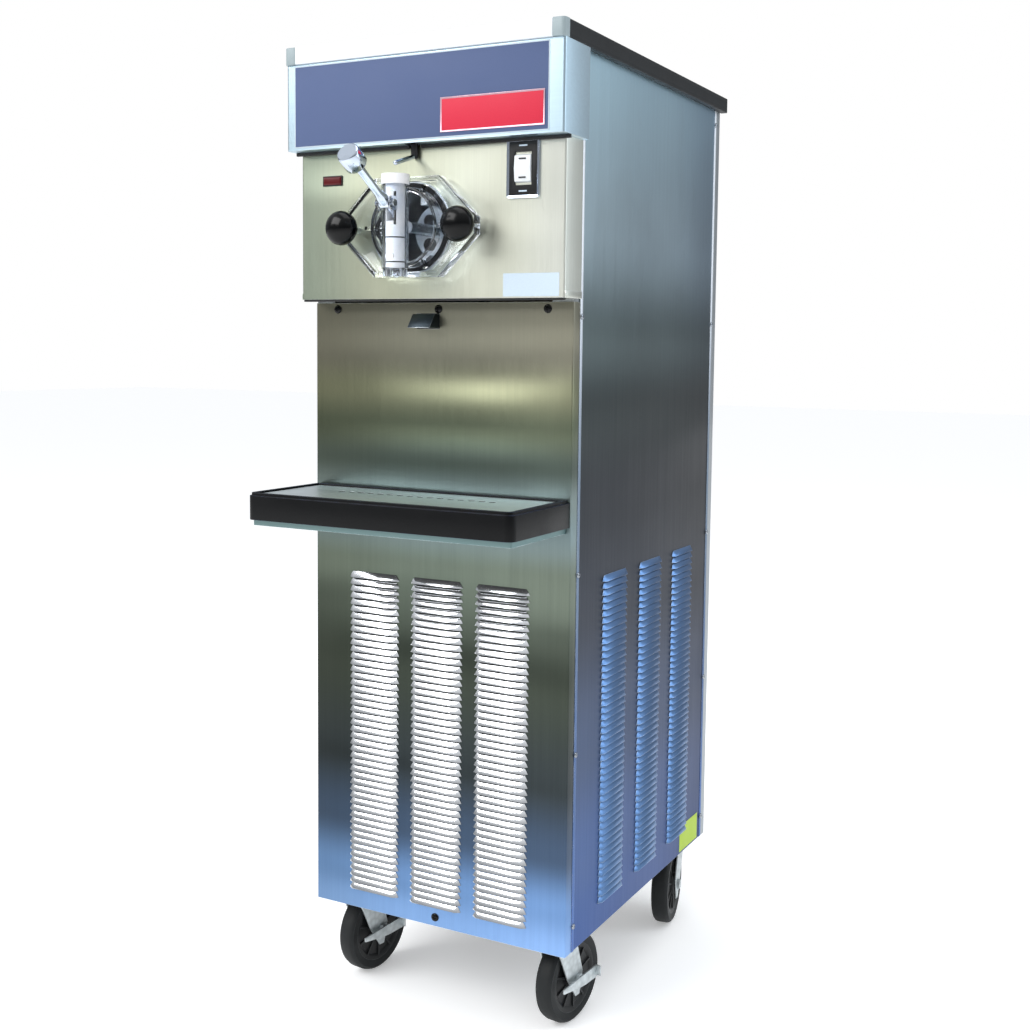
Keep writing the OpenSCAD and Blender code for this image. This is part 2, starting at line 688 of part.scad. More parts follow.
module drip_tray() color("black") cab() translate([0, 0, tray_z - tray_h]) difference() {
    union() {
        linear_extrude(tray_h - 4) tray_plan(0);
        translate([0, 0, tray_h - 5]) linear_extrude(5) tray_plan(5);
    }
    translate([0, 0, tray_t]) linear_extrude(tray_h) tray_plan(11);
    translate([0, 0, tray_h - insert_drop]) linear_extrude(tray_h) tray_plan(8);
}

module tray_insert() color("silver") cab() translate([0, 0, tray_z - insert_drop]) linear_extrude(insert_t)
    difference() {
        tray_plan(8 + slide_gap);
        for (i = [0 : hole_count - 1])
            translate([tray_x + (i - (hole_count - 1) / 2) * hole_pitch, hole_y]) circle(d = hole_d);
    }

module tray_shelf() color("lightgray") cab() {
    top = tray_z - tray_h;
    box([-tray_w / 2 + 5, -tray_out + 8, top - sheet], [tray_w / 2 - 5, 0, top]);
    side_returns(-tray_out + 8, 0, tray_w / 2 - 5, top - shelf_t, top);
    box([-tray_w / 2 + 5, -tray_out + 8, top - shelf_t], [tray_w / 2 - 5, -tray_out + 8 + sheet, top]);
    box([-tray_w / 2 + 5, -sheet, top - shelf_t], [tray_w / 2 - 5, 0, top]);
}

// Drive -----------------------------------------------------------------------

module drive_motor() color("darkslategray") cab() difference() {
    union() {
        rod_y(door_x, motor_z, motor_r, motor_back - motor_l, motor_back - 12);
        rod_y(door_x, motor_z, motor_r - 12, motor_back - motor_l - 14, motor_back);
        for (a = [0 : 20 : 340]) translate([door_x, 0, motor_z]) rotate([0, a, 0])
            box([-1.5, motor_back - motor_l + 20, motor_r - 4], [1.5, motor_back - 32, motor_r + 5]);
        box([door_x - 60, motor_back - motor_l + 20, motor_z - motor_r - 12],
            [door_x + 60, motor_back - 30, motor_z - motor_r + 14]);
        box([-half_w + sheet + post_t + 1, motor_back - motor_l + 20, motor_z - motor_r - 15],
            [half_w - sheet - post_t - 1, motor_back - 30, motor_z - motor_r - 12]);
    }
    rod_y(door_x, motor_z, stub_d / 2 + run_gap, motor_back - stub_in - 2, motor_back + 1);
}

// A belt pulley with a short shaft that runs back into the part in front of it
module pulley(z, d) translate([door_x, 0, z]) difference() {
    union() {
        rod_y(0, 0, stub_d / 2, motor_back - stub_in, pulley_y + pulley_w);
        rod_y(0, 0, stub_d / 2 + 6, pulley_y - 8, pulley_y + pulley_w);
        rod_y(0, 0, d / 2, pulley_y, pulley_y + pulley_w);
    }
    difference() {
        rod_y(0, 0, d / 2 + 1, pulley_y + 3, pulley_y + pulley_w - 3);
        rod_y(0, 0, d / 2 - 5, pulley_y + 2, pulley_y + pulley_w - 2);
    }
}

module motor_pulley() color("gray") cab() pulley(motor_z, motor_pulley_d);
module gearbox_pulley() color("gray") cab() pulley(door_z, gear_pulley_d);

// The belt's loop round both pulleys, its inner face the given distance above their floors
module belt_loop(grow) hull() {
    translate([door_x, door_z]) circle(r = gear_pulley_d / 2 - 5 + grow, $fn = 48);
    translate([door_x, motor_z]) circle(r = motor_pulley_d / 2 - 5 + grow, $fn = 32);
}

module drive_belt() color("black") cab() translate([0, pulley_y + pulley_w - 4, 0]) rotate([90, 0, 0])
    linear_extrude(pulley_w - 8) difference() {
        belt_loop(slide_gap + belt_t);
        belt_loop(slide_gap);
    }

module gearbox() color("cadetblue") cab() difference() {
    union() {
        rod_y(door_x, door_z, 58, gearbox_y, gearbox_y + gearbox_l - 12);
        rod_y(door_x, door_z, 40, gearbox_y, gearbox_y + gearbox_l);
        box([door_x - 30, gearbox_y + 20, door_z - 70], [door_x + 30, gearbox_y + 70, door_z - 40]);
        box([-half_w + sheet + post_t + 1, gearbox_y + 20, door_z - 74],
            [half_w - sheet - post_t - 1, gearbox_y + 70, door_z - 70]);
    }
    rod_y(door_x, door_z, shaft_d / 2 + run_gap, gearbox_y - 1, gearbox_y + 30);
    rod_y(door_x, door_z, stub_d / 2 + run_gap, motor_back - stub_in - 2, motor_back + 1);
}

// Refrigeration -----------------------------------------------------------------

comp_x = 70;
comp_y = cab_d - 170;
comp_r = 95;

module compressor() color("black") cab() translate([comp_x, comp_y, base_z + base_t]) {
    cylinder(r = comp_r - 10, h = 12);
    translate([0, 0, 12]) cylinder(r = comp_r, h = 150);
    translate([0, 0, 162]) cylinder(r1 = comp_r, r2 = comp_r - 35, h = 45);
    translate([-comp_r, -comp_r, 0]) cube([2 * comp_r, 2 * comp_r, 5]);
}

module condenser() color("gray") cab() {
    w = 3 * louvre_w + 2 * front_gap;
    for (s = [-1, 1])
        box([s * w / 2 - 1.5, cond_y, cond_z0], [s * w / 2 + 1.5, cond_y + cond_t, cond_z0 + cond_h]);
    for (i = [1 : 35]) translate([-w / 2 + i * w / 36, 0, 0])
        box([-0.4, cond_y, cond_z0], [0.4, cond_y + cond_t, cond_z0 + cond_h]);
    for (i = [0 : 9])
        rod_x(cond_y + cond_t / 2, cond_z0 + 20 + i * (cond_h - 40) / 9, 5, -w / 2 - 8, w / 2 + 8);
    for (s = [-1, 1]) box([s * w / 2 - 10, cond_y + cond_t / 2 - 4, base_z + base_t],
        [s * w / 2 + 10, cond_y + cond_t / 2 + 4, cond_z0]);
}

module condenser_fan() color("silver") cab() difference() {
    union() {
        rod_y(0, fan_z, 28, fan_y - 10, fan_y + 10);
        for (a = [0 : 72 : 288]) translate([0, fan_y, fan_z]) rotate([0, a, 0]) rotate([0, 0, 28])
            translate([-28, -1, 20]) cube([56, 2, fan_r - 20]);
    }
    rod_y(0, fan_z, 5 + run_gap, fan_y - 6, fan_y + 20);
}

module fan_motor() color("dimgray") cab() {
    rod_y(0, fan_z, 5, fan_y - 4, fan_y + 40);
    rod_y(0, fan_z, 40, fan_y + 36, fan_y + 96);
    box([-60, fan_y + 46, base_z + base_t], [60, fan_y + 50, fan_z - 30]);
}

// A pipe through the given points, with a ball at each bend
module pipe(points, r) for (i = [0 : len(points) - 2]) {
    step = points[i + 1] - points[i];
    translate(points[i]) rotate([0, acos(step[2] / norm(step)), atan2(step[1], step[0])])
        cylinder(r = r, h = norm(step), $fn = 12);
    if (i > 0) translate(points[i]) sphere(r = r, $fn = 12);
}

module refrigerant_lines() color("peru") cab() {
    pipe_x = half_w - 30;
    top_z = door_z - 90;
    back = comp_y + comp_r + 20;
    pipe([[comp_x, back - 15, 120], [comp_x, back, 120], [pipe_x, back, 120],
        [pipe_x, 230, 120], [pipe_x, 230, cond_z0 + cond_h + 14],
        [pipe_x, cond_y + 20, cond_z0 + cond_h + 14], [80, cond_y + 20, cond_z0 + cond_h + 14]], 4);
    pipe([[comp_x - 40, back - 22, 120], [comp_x - 40, back, 150], [comp_x - 40, back, top_z - 150],
        [pipe_x - 30, back - 150, top_z - 150], [pipe_x - 30, 200, top_z - 150], [pipe_x - 30, 200, door_z],
        [door_x + jacket_r + 6, 200, door_z]], 6);
}

module control_box() color("lightgray") cab() {
    x = -half_w + sheet + 4;
    box([x, 60, 700], [x + 70, 200, 860]);
    box([x + 70, 70, 710], [x + 74, 190, 850]);
}

module cord_gland() color("black") cab() translate([-half_w + 80, cab_d, 120]) difference() {
    union() {
        rod_y(0, 0, gland_d / 2, 0, 5);
        rod_y(0, 0, gland_d / 2 - 3, 0, gland_out);
        rod_y(0, 0, gland_d / 2 - 4.5, -14, 1);
    }
    rod_y(0, 0, gland_hole / 2, -20, gland_out + 1);
}

// Casters -----------------------------------------------------------------------

caster_x = half_w - caster_in;

// Places the fork's parts: origin on the swivel axis at the cabinet's bottom edge,
// with the wheel trailing along +Y before the turn
module at_caster(sx, rear) translate([sx * caster_x, rear ? rear_caster_y : front_caster_y, 0])
    rotate([0, 0, rear ? rear_turn : front_turn]) children();

module caster_plates() color("silver") cab() for (sx = [-1, 1], y = [front_caster_y, rear_caster_y])
    translate([sx * caster_x, y, 0]) {
        box([-plate_w / 2, -plate_l / 2, base_z - plate_t], [plate_w / 2, plate_l / 2, base_z]);
        translate([0, 0, fork_top]) cylinder(r = race_r, h = race_h);
    }

// One side of the fork: a tapering leg from the crown down to a rounded point below the axle
module fork_leg() rotate([90, 0, 90]) linear_extrude(fork_t) difference() {
    union() {
        polygon([[-22, fork_top - 4], [26, fork_top - 4], [trail + 17, axle_z + 8],
            [trail + 15, axle_z - 8], [trail + 5, axle_z - 22], [trail - 5, axle_z - 22],
            [trail - 15, axle_z - 8], [trail - 17, axle_z + 8]]);
        translate([trail, axle_z - 18]) circle(6.4);
    }
    translate([trail, axle_z]) circle(axle_d / 2);
}

module caster_fork() {
    difference() {
        translate([0, 0, fork_top - 4.5]) cylinder(r = race_r + 3, h = 4);
        translate([0, 0, fork_top - 5]) cylinder(r = 5, h = 5);
    }
    translate([-fork_half - fork_t, -22, fork_top - 7]) cube([2 * (fork_half + fork_t), 46, 3]);
    for (s = [-1, 1]) translate([s > 0 ? fork_half : -fork_half - fork_t, 0, 0]) fork_leg();
    translate([0, trail, 0]) {
        rod_x(0, axle_z, axle_d / 2, -fork_half - fork_t, fork_half + fork_t);
        for (s = [-1, 1]) {
            nut_x = s * (fork_half + fork_t + 2.5);
            rod_x(0, axle_z, 8, nut_x - 2.5, nut_x + 2.5);
        }
    }
}

module caster_wheel() translate([0, trail, axle_z]) rotate([0, 90, 0]) rotate_extrude() {
    r = wheel_d / 2;
    h = wheel_w / 2;
    polygon([[axle_d / 2 + run_gap, -h - 1.2], [17, -h - 1.2], [18, 4 - h], [44, 4 - h], [46, -h],
        [r - 4, -h], [r, 4 - h], [r, h - 4], [r - 4, h], [46, h], [44, h - 4], [18, h - 4],
        [17, h + 1.2], [axle_d / 2 + run_gap, h + 1.2]]);
}

// The side brake: a plate on the axle's nut with a lobe one way and a turned-out pad the other
module caster_brake() translate([fork_half + fork_t + 5.3, trail, axle_z]) {
    rotate([90, 0, 90]) linear_extrude(3) {
        polygon([[35, -6], [6, -9], [-6, -9], [-40, -7], [-46, 0], [-40, 8], [-6, 9], [35, 9]]);
    }
    box([0, 35, -6], [brake_pad, 38, 9]);
}

module caster_fork_fl() color("silver") cab() at_caster(-1, false) caster_fork();
module caster_fork_fr() color("silver") cab() at_caster(1, false) caster_fork();
module caster_fork_rl() color("silver") cab() at_caster(-1, true) caster_fork();
module caster_fork_rr() color("silver") cab() at_caster(1, true) caster_fork();
module caster_wheel_fl() color("dimgray") cab() at_caster(-1, false) caster_wheel();
module caster_wheel_fr() color("dimgray") cab() at_caster(1, false) caster_wheel();
module caster_wheel_rl() color("dimgray") cab() at_caster(-1, true) caster_wheel();
module caster_wheel_rr() color("dimgray") cab() at_caster(1, true) caster_wheel();
module caster_brake_fl() color("lightgray") cab() at_caster(-1, false) caster_brake();
module caster_brake_fr() color("lightgray") cab() at_caster(1, false) caster_brake();

base_frame();
corner_posts();
front_panel();
left_side_panel();
right_side_panel();
rear_panel();
head_panel();
header_shell();
header_fascia();
deck_panel();
front_trim();
side_trims();
trim_corner_caps();
panel_screws();
hopper();
hopper_lid();
mix_feed_tube();
freezing_cylinder();
insulation_jacket();
dasher();
scraper_blades();
dispense_door();
door_gasket();
left_knob();
right_knob();
plunger();
plunger_rings();
dispense_handle();
handle_pivot_pin();
draw_switch_lever();
switch_bezel();
switch_rocker();
indicator_lens();
drip_drawer();
drip_tray();
tray_insert();
tray_shelf();
drive_motor();
motor_pulley();
drive_belt();
gearbox();
gearbox_pulley();
compressor();
condenser();
condenser_fan();
fan_motor();
refrigerant_lines();
control_box();
cord_gland();
caster_plates();
caster_fork_fl();
caster_fork_fr();
caster_fork_rl();
caster_fork_rr();
caster_wheel_fl();
caster_wheel_fr();
caster_wheel_rl();
caster_wheel_rr();
caster_brake_fl();
caster_brake_fr();
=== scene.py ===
import math

import bmesh
import bpy
from mathutils import Matrix, Vector


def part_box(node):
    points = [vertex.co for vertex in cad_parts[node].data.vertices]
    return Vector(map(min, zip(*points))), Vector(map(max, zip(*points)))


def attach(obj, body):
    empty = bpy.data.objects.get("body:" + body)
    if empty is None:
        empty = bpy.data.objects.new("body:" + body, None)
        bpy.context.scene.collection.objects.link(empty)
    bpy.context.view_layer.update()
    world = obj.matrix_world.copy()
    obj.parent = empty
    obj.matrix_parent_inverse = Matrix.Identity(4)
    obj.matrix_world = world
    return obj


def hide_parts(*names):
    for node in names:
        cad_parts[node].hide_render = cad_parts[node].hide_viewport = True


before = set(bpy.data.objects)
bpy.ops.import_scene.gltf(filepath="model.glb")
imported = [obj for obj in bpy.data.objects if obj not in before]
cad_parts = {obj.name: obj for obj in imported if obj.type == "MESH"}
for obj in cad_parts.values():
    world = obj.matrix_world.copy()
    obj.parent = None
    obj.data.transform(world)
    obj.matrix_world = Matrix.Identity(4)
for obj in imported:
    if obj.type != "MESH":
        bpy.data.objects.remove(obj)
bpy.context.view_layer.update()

# Everything is modelled in millimetres from the cabinet's front bottom middle, and moved
# into the row frame when it is finished.
front_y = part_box("tray_shelf")[1].y
floor_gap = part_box("front_panel")[0].z
TO_ROW = Matrix.Translation((0, front_y, floor_gap)) @ Matrix.Scale(0.001, 4)
TO_CABINET = TO_ROW.inverted()


def span(node):
    """A CAD node's lowest and highest corners, in cabinet millimetres."""
    lo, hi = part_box(node)
    return TO_CABINET @ lo, TO_CABINET @ hi


def middle(node):
    lo, hi = span(node)
    return (lo + hi) / 2


# Camera and light ------


CAMERA_PLACE = (0.9603, -1.7369, 0.9545)
CAMERA_TURN = (27.7, -4.77, 0.66)


def add_camera():
    """The eye point, with its yaw, pitch and roll."""
    yaw, pitch, roll = (math.radians(degrees) for degrees in CAMERA_TURN)
    look = Vector((-math.sin(yaw) * math.cos(pitch), math.cos(yaw) * math.cos(pitch), math.sin(pitch)))
    level = look.cross(Vector((0, 0, 1))).normalized()
    above = level.cross(look)
    right = level * math.cos(roll) + above * math.sin(roll)
    up = above * math.cos(roll) - level * math.sin(roll)
    camera = bpy.data.objects.new("camera", bpy.data.cameras.new("camera"))
    bpy.context.scene.collection.objects.link(camera)
    turn = Matrix((right, up, -look)).transposed().to_4x4()
    camera.matrix_world = Matrix.Translation(CAMERA_PLACE) @ turn
    camera.data.sensor_width = 36
    camera.data.lens = 46.2
    camera.data.shift_x = -0.0133
    camera.data.shift_y = -0.0553
    bpy.context.scene.camera = camera


def add_softbox(name, place, aim, size, power, colour=(1, 1, 1)):
    lamp = bpy.data.lights.new(name, "AREA")
    lamp.shape = "RECTANGLE"
    lamp.size, lamp.size_y = size
    lamp.energy = power
    lamp.color = colour
    box = bpy.data.objects.new(name, lamp)
    bpy.context.scene.collection.objects.link(box)
    box.location = place
    box.rotation_euler = (Vector(aim) - Vector(place)).to_track_quat("-Z", "Y").to_euler()


def add_world():
    """Pale to the eye; in reflections a soft room, dim at the horizon and bright above."""
    world = bpy.data.worlds.new("studio")
    bpy.context.scene.world = world
    world.use_nodes = True
    tree = world.node_tree
    seen = tree.nodes.new("ShaderNodeLightPath")
    place = tree.nodes.new("ShaderNodeTexCoord")
    split = tree.nodes.new("ShaderNodeSeparateXYZ")
    ramp = tree.nodes.new("ShaderNodeValToRGB")
    mix = tree.nodes.new("ShaderNodeMix")
    mix.data_type = "RGBA"
    tree.links.new(place.outputs["Generated"], split.inputs[0])
    tree.links.new(split.outputs["Z"], ramp.inputs[0])
    stops = ((0.0, (0.2, 0.21, 0.22, 1)), (0.7, (0.8, 0.82, 0.84, 1)))
    for element, (share, colour) in zip(ramp.color_ramp.elements, stops):
        element.position, element.color = share, colour
    tree.links.new(seen.outputs["Is Camera Ray"], mix.inputs[0])
    tree.links.new(ramp.outputs[0], mix.inputs[6])
    mix.inputs[7].default_value = (1, 1, 1, 1)
    tree.links.new(mix.outputs[2], tree.nodes["Background"].inputs["Color"])


def add_floor():
    bpy.ops.object.select_all(action="DESELECT")
    bpy.ops.mesh.primitive_plane_add(size=40)
    floor = bpy.context.object
    floor.name = "floor"
    paint = bpy.data.materials.new("floor_paint")
    paint.use_nodes = True
    inputs = paint.node_tree.nodes["Principled BSDF"].inputs
    for key, value in (("Base Color", (0.93, 0.93, 0.93, 1)), ("Roughness", 0.9),
                       ("Emission Color", (1, 1, 1, 1)), ("Emission Strength", 0.32)):
        inputs[key].default_value = value
    floor.data.materials.append(paint)


add_camera()
bpy.context.scene.view_settings.view_transform = "Standard"
add_world()
add_floor()
add_softbox("key", (-1.9, -3.0, 3.1), (0, 0, 0.6), (3.0, 2.2), 125)
add_softbox("fill", (2.9, 1.3, 1.9), (0, 0.1, 0.6), (1.6, 2.4), 26, (0.82, 0.91, 1.0))
add_softbox("top", (0.3, -0.2, 3.6), (0, 0, 1), (2.4, 2.4), 34)


# Shader groups ------


class Group:
    """A shader node group with named inputs and outputs."""

    def __init__(self, name, inputs, outputs):
        self.tree = bpy.data.node_groups.new(name, "ShaderNodeTree")
        for label, kind, value in inputs:
            socket = self.tree.interface.new_socket(label, in_out="INPUT", socket_type="NodeSocket" + kind)
            if value is not None:
                socket.default_value = value
        for label, kind in outputs:
            self.tree.interface.new_socket(label, in_out="OUTPUT", socket_type="NodeSocket" + kind)
        self.given = self.tree.nodes.new("NodeGroupInput").outputs
        self.made = self.tree.nodes.new("NodeGroupOutput").inputs


def joined_up(tree, kind, inputs, **settings):
    """Adds a node, sets it, and links or fills its inputs."""
    node = tree.nodes.new("ShaderNode" + kind)
    for key, value in settings.items():
        setattr(node, key, value)
    for key, value in inputs.items():
        if isinstance(value, bpy.types.NodeSocket):
            tree.links.new(value, node.inputs[key])
        else:
            node.inputs[key].default_value = value
    return node


def maths(tree, operation, *values, kind="Math", **settings):
    """An arithmetic node over its values; gives its first output."""
    return joined_up(tree, kind, dict(enumerate(values)), operation=operation, **settings).outputs[0]


def noise(tree, place, scale, detail=3.0):
    return joined_up(tree, "TexNoise", {"Vector": place, "Scale": scale, "Detail": detail}).outputs[0]


def spread_between(tree, value, low, high, to_low=0.0, to_high=1.0):
    """Maps low..high to to_low..to_high, held at the ends."""
    return joined_up(tree, "MapRange", {0: value, 1: low, 2: high, 3: to_low, 4: to_high}).outputs[0]


def brushed_grain_group():
    g = Group("Brushed Grain",
              [("Place", "Vector", None), ("Stretch", "Vector", (900, 900, 12)), ("Depth", "Float", 0.2)],
              [("Grain", "Float"), ("Normal", "Vector")])
    t = g.tree
    fine = maths(t, "MULTIPLY", g.given["Place"], g.given["Stretch"], kind="VectorMath")
    broad = maths(t, "MULTIPLY", fine, (0.17, 0.17, 0.3), kind="VectorMath")
    both = maths(t, "ADD", noise(t, fine, 1.0, 4.0), noise(t, broad, 1.0, 2.0))
    t.links.new(spread_between(t, both, 0.7, 1.3), g.made["Grain"])
    bump = joined_up(t, "Bump", {"Strength": g.given["Depth"], "Distance": 0.0004, "Height": both})
    t.links.new(bump.outputs[0], g.made["Normal"])
    return t


def mottle_group():
    g = Group("Mottle", [("Place", "Vector", None), ("Scale", "Float", 6.0), ("Low", "Float", 0.4),
                         ("High", "Float", 0.65)], [("Mask", "Float")])
    value = noise(g.tree, g.given["Place"], g.given["Scale"], 4.0)
    g.tree.links.new(spread_between(g.tree, value, g.given["Low"], g.given["High"]), g.made["Mask"])
    return g.tree


# Marks rounded edges: real rubbing on cast parts and tyres, and a painted highlight along the edges of sheet
# steel, chrome, the tray rim and the other mouldings.
def edge_wear_group():
    g = Group("Edge Wear", [("Place", "Vector", None), ("Radius", "Float", 0.0015), ("Amount", "Float", 1.0)],
              [("Mask", "Float")])
    t = g.tree
    rounded = joined_up(t, "Bevel", {"Radius": g.given["Radius"]}, samples=4).outputs[0]
    true = t.nodes.new("ShaderNodeNewGeometry").outputs["Normal"]
    alike = joined_up(t, "VectorMath", {0: rounded, 1: true}, operation="DOT_PRODUCT").outputs["Value"]
    edge = spread_between(t, alike, 0.98, 0.8)
    patchy = spread_between(t, noise(t, g.given["Place"], 60.0, 5.0), 0.35, 0.6, 0.25, 1.0)
    worn_or_lit = maths(t, "MULTIPLY", edge, patchy)
    t.links.new(maths(t, "MULTIPLY", worn_or_lit, g.given["Amount"], use_clamp=True), g.made["Mask"])
    return t


def moulded_skin_group():
    g = Group("Moulded Skin", [("Place", "Vector", None), ("Scale", "Float", 900.0), ("Depth", "Float", 0.1)],
              [("Mask", "Float"), ("Normal", "Vector")])
    t = g.tree
    pips = noise(t, g.given["Place"], g.given["Scale"], 2.0)
    t.links.new(pips, g.made["Mask"])
    bump = joined_up(t, "Bump", {"Strength": g.given["Depth"], "Distance": 0.0005, "Height": pips})
    t.links.new(bump.outputs[0], g.made["Normal"])
    return t


def settled_dust_group():
    g = Group("Settled Dust", [("Place", "Vector", None), ("Amount", "Float", 0.3)], [("Mask", "Float")])
    t = g.tree
    normal = t.nodes.new("ShaderNodeTexCoord").outputs["Normal"]
    up = joined_up(t, "SeparateXYZ", {0: normal}).outputs["Z"]
    level = spread_between(t, up, 0.3, 1.0, 0.15, 1.0)
    patchy = spread_between(t, noise(t, g.given["Place"], 25.0, 5.0), 0.35, 0.7)
    both = maths(t, "MULTIPLY", level, patchy)
    t.links.new(maths(t, "MULTIPLY", both, g.given["Amount"], use_clamp=True), g.made["Mask"])
    return t


GROUPS = {
    "grain": brushed_grain_group(),
    "mottle": mottle_group(),
    "wear": edge_wear_group(),
    "skin": moulded_skin_group(),
    "dust": settled_dust_group(),
}


# Finishes ------


class Finish:
    """A material being put together round one Principled shader."""

    def __init__(self, name, colour, roughness, metallic=0.0, **shader):
        self.material = bpy.data.materials.new(name)
        self.material.use_nodes = True
        self.tree = self.material.node_tree
        self.shader = self.tree.nodes["Principled BSDF"]
        self.colour = (*colour, 1.0)
        self.roughness = roughness
        self.shader.inputs["Metallic"].default_value = metallic
        for key, value in shader.items():
            self.shader.inputs[key.replace("_", " ")].default_value = value
        self.place = self.tree.nodes.new("ShaderNodeTexCoord").outputs["Object"]

    def use(self, group, **inputs):
        node = self.tree.nodes.new("ShaderNodeGroup")
        node.node_tree = GROUPS[group]
        self.tree.links.new(self.place, node.inputs["Place"])
        for key, value in inputs.items():
            node.inputs[key].default_value = value
        return node.outputs

    def tint(self, mask, colour, blend="MIX"):
        """Mixes a colour into the base colour where the mask is 1."""
        node = joined_up(self.tree, "Mix", {0: mask, 6: self.colour, 7: (*colour, 1.0)},
                         data_type="RGBA", blend_type=blend)
        self.colour = node.outputs[2]

    def gradient(self, axis, low, high, stops):
        """Paints light and reflection into the base colour: it runs through the stops, (share of the way,
        colour), along an axis in metres.
        """
        part = joined_up(self.tree, "SeparateXYZ", {0: self.place}).outputs[axis]
        ramp = joined_up(self.tree, "ValToRGB", {0: spread_between(self.tree, part, low, high)})
        ramp.color_ramp.interpolation = "EASE"
        elements = ramp.color_ramp.elements
        elements[0].position, elements[-1].position = stops[0][0], stops[-1][0]
        for share, _ in stops[1:-1]:
            elements.new(share)
        for element, (_, colour) in zip(elements, stops):
            element.color = (*srgb(*colour), 1.0)
        return ramp.outputs[0]

    def rougher(self, mask, amount):
        """Adds the mask times an amount to the roughness."""
        self.roughness = maths(self.tree, "MULTIPLY_ADD", mask, amount, self.roughness, use_clamp=True)

    # Tints rounded edges: real rubbing on some finishes, a painted edge highlight on others.
    def wear(self, radius, amount, colour):
        self.tint(self.use("wear", Radius=radius, Amount=amount)["Mask"], srgb(*colour))

    def dust(self, amount, colour):
        self.tint(self.use("dust", Amount=amount)["Mask"], srgb(*colour))

    def relief(self, normal):
        self.tree.links.new(normal, self.shader.inputs["Normal"])

    def done(self):
        for key, value in (("Base Color", self.colour), ("Roughness", self.roughness)):
            if isinstance(value, bpy.types.NodeSocket):
                self.tree.links.new(value, self.shader.inputs[key])
            else:
                self.shader.inputs[key].default_value = value
        return self.material


def srgb(r, g, b):
    """Linear colour from 0-255 display values."""
    shares = (r / 255, g / 255, b / 255)
    return tuple(c / 12.92 if c <= 0.04045 else ((c + 0.055) / 1.055) ** 2.4 for c in shares)


# The cabinet's bottom edge and the top of its trims, in metres above the floor: the span over which the steel's
# painted reflections run.
CABINET_SPAN = (0.13, 1.364)


def brushed_sheet(name, stretch, stops=None, painted_light_sideways=None, roughness=0.3, wave=0.0,
                  colour=(196, 200, 198), wear=0.8):
    """Number 4 stainless sheet. The stops paint reflections into it from the cabinet's bottom to its top, and
    the side-to-side ramp paints light across it.
    """
    f = Finish(name, srgb(*colour), roughness, 1.0)
    if stops:
        f.colour = f.gradient("Z", *CABINET_SPAN, stops)
    # Painted light: one side of the sheet is made darker than the other.
    if painted_light_sideways:
        painted_light_across = f.gradient(*painted_light_sideways)
        node = joined_up(f.tree, "Mix", {0: 1.0, 6: f.colour, 7: painted_light_across},
                         data_type="RGBA", blend_type="MULTIPLY")
        f.colour = node.outputs[2]
    grain = f.use("grain", Stretch=stretch, Depth=0.16)
    smears = f.use("mottle", Scale=3.2, Low=0.42, High=0.7)
    f.tint(grain["Grain"], (0.93, 0.93, 0.935), "MULTIPLY")
    # Lighter rounded edges: a painted edge highlight.
    f.wear(0.0012, wear, (226, 232, 236))
    f.rougher(smears["Mask"], 0.07)
    f.rougher(grain["Grain"], 0.05)
    normal = grain["Normal"]
    if wave:
        long_waves = maths(f.tree, "MULTIPLY", f.place, (1.3, 1.3, 7.0), kind="VectorMath")
        swell = noise(f.tree, long_waves, 1.0, 1.0)
        bump = joined_up(f.tree, "Bump",
                         {"Strength": wave, "Distance": 0.02, "Height": swell, "Normal": normal})
        normal = bump.outputs[0]
    f.relief(normal)
    return f.done()


def polished(name, colour, roughness=0.08, smear=0.12):
    f = Finish(name, srgb(*colour), roughness, 1.0)
    prints = f.use("mottle", Scale=40.0, Low=0.45, High=0.75)
    f.rougher(prints["Mask"], smear)
    f.tint(prints["Mask"], srgb(*(c * 0.9 for c in colour)))
    # Lighter rounded edges: a painted edge highlight on the polished metal.
    f.wear(0.0008, 0.6, (235, 240, 243))
    f.relief(f.use("skin", Scale=300.0, Depth=0.02)["Normal"])
    return f.done()


def zinc_plate(name, colour, roughness=0.42):
    """Zinc or galvanised plate with its spangle."""
    f = Finish(name, srgb(*colour), roughness, 0.9)
    spangle = joined_up(f.tree, "TexVoronoi", {"Vector": f.place, "Scale": 120.0}).outputs["Distance"]
    f.tint(spread_between(f.tree, spangle, 0.2, 0.8, 0.0, 0.5), srgb(*(c * 0.78 for c in colour)))
    f.wear(0.001, 0.7, (236, 238, 240))
    f.dust(0.3, (150, 146, 138))
    f.rougher(spangle, 0.12)
    f.relief(f.use("skin", Scale=500.0, Depth=0.06)["Normal"])
    return f.done()


def moulded(name, colour, roughness, texture=0.12, scale=900.0, dust=0.12, wear=0.25,
            worn_or_highlight_to=(150, 156, 160), **shader):
    f = Finish(name, srgb(*colour), roughness, 0.0, **shader)
    skin = f.use("skin", Scale=scale, Depth=texture)
    smears = f.use("mottle", Scale=14.0, Low=0.4, High=0.7)
    f.tint(skin["Mask"], (0.86, 0.86, 0.86), "MULTIPLY")
    # Lighter rounded edges: real rubbing, and a painted edge highlight.
    f.wear(0.0009, wear, worn_or_highlight_to)
    f.dust(dust, (140, 138, 132))
    f.rougher(smears["Mask"], 0.12)
    f.relief(skin["Normal"])
    return f.done()


def cast_metal(name, colour, roughness, metallic, scale=260.0, depth=0.35):
    """A cast or sprayed body: coarse skin, dust in its tops, bare metal on its edges."""
    f = Finish(name, srgb(*colour), roughness, metallic)
    skin = f.use("skin", Scale=scale, Depth=depth)
    blotches = f.use("mottle", Scale=18.0, Low=0.4, High=0.7)
    f.tint(blotches["Mask"], srgb(*(c * 0.72 for c in colour)))
    f.wear(0.0015, 0.7, (150, 150, 148))
    f.dust(0.35, (138, 132, 122))
    f.rougher(skin["Mask"], 0.2)
    f.relief(skin["Normal"])
    return f.done()


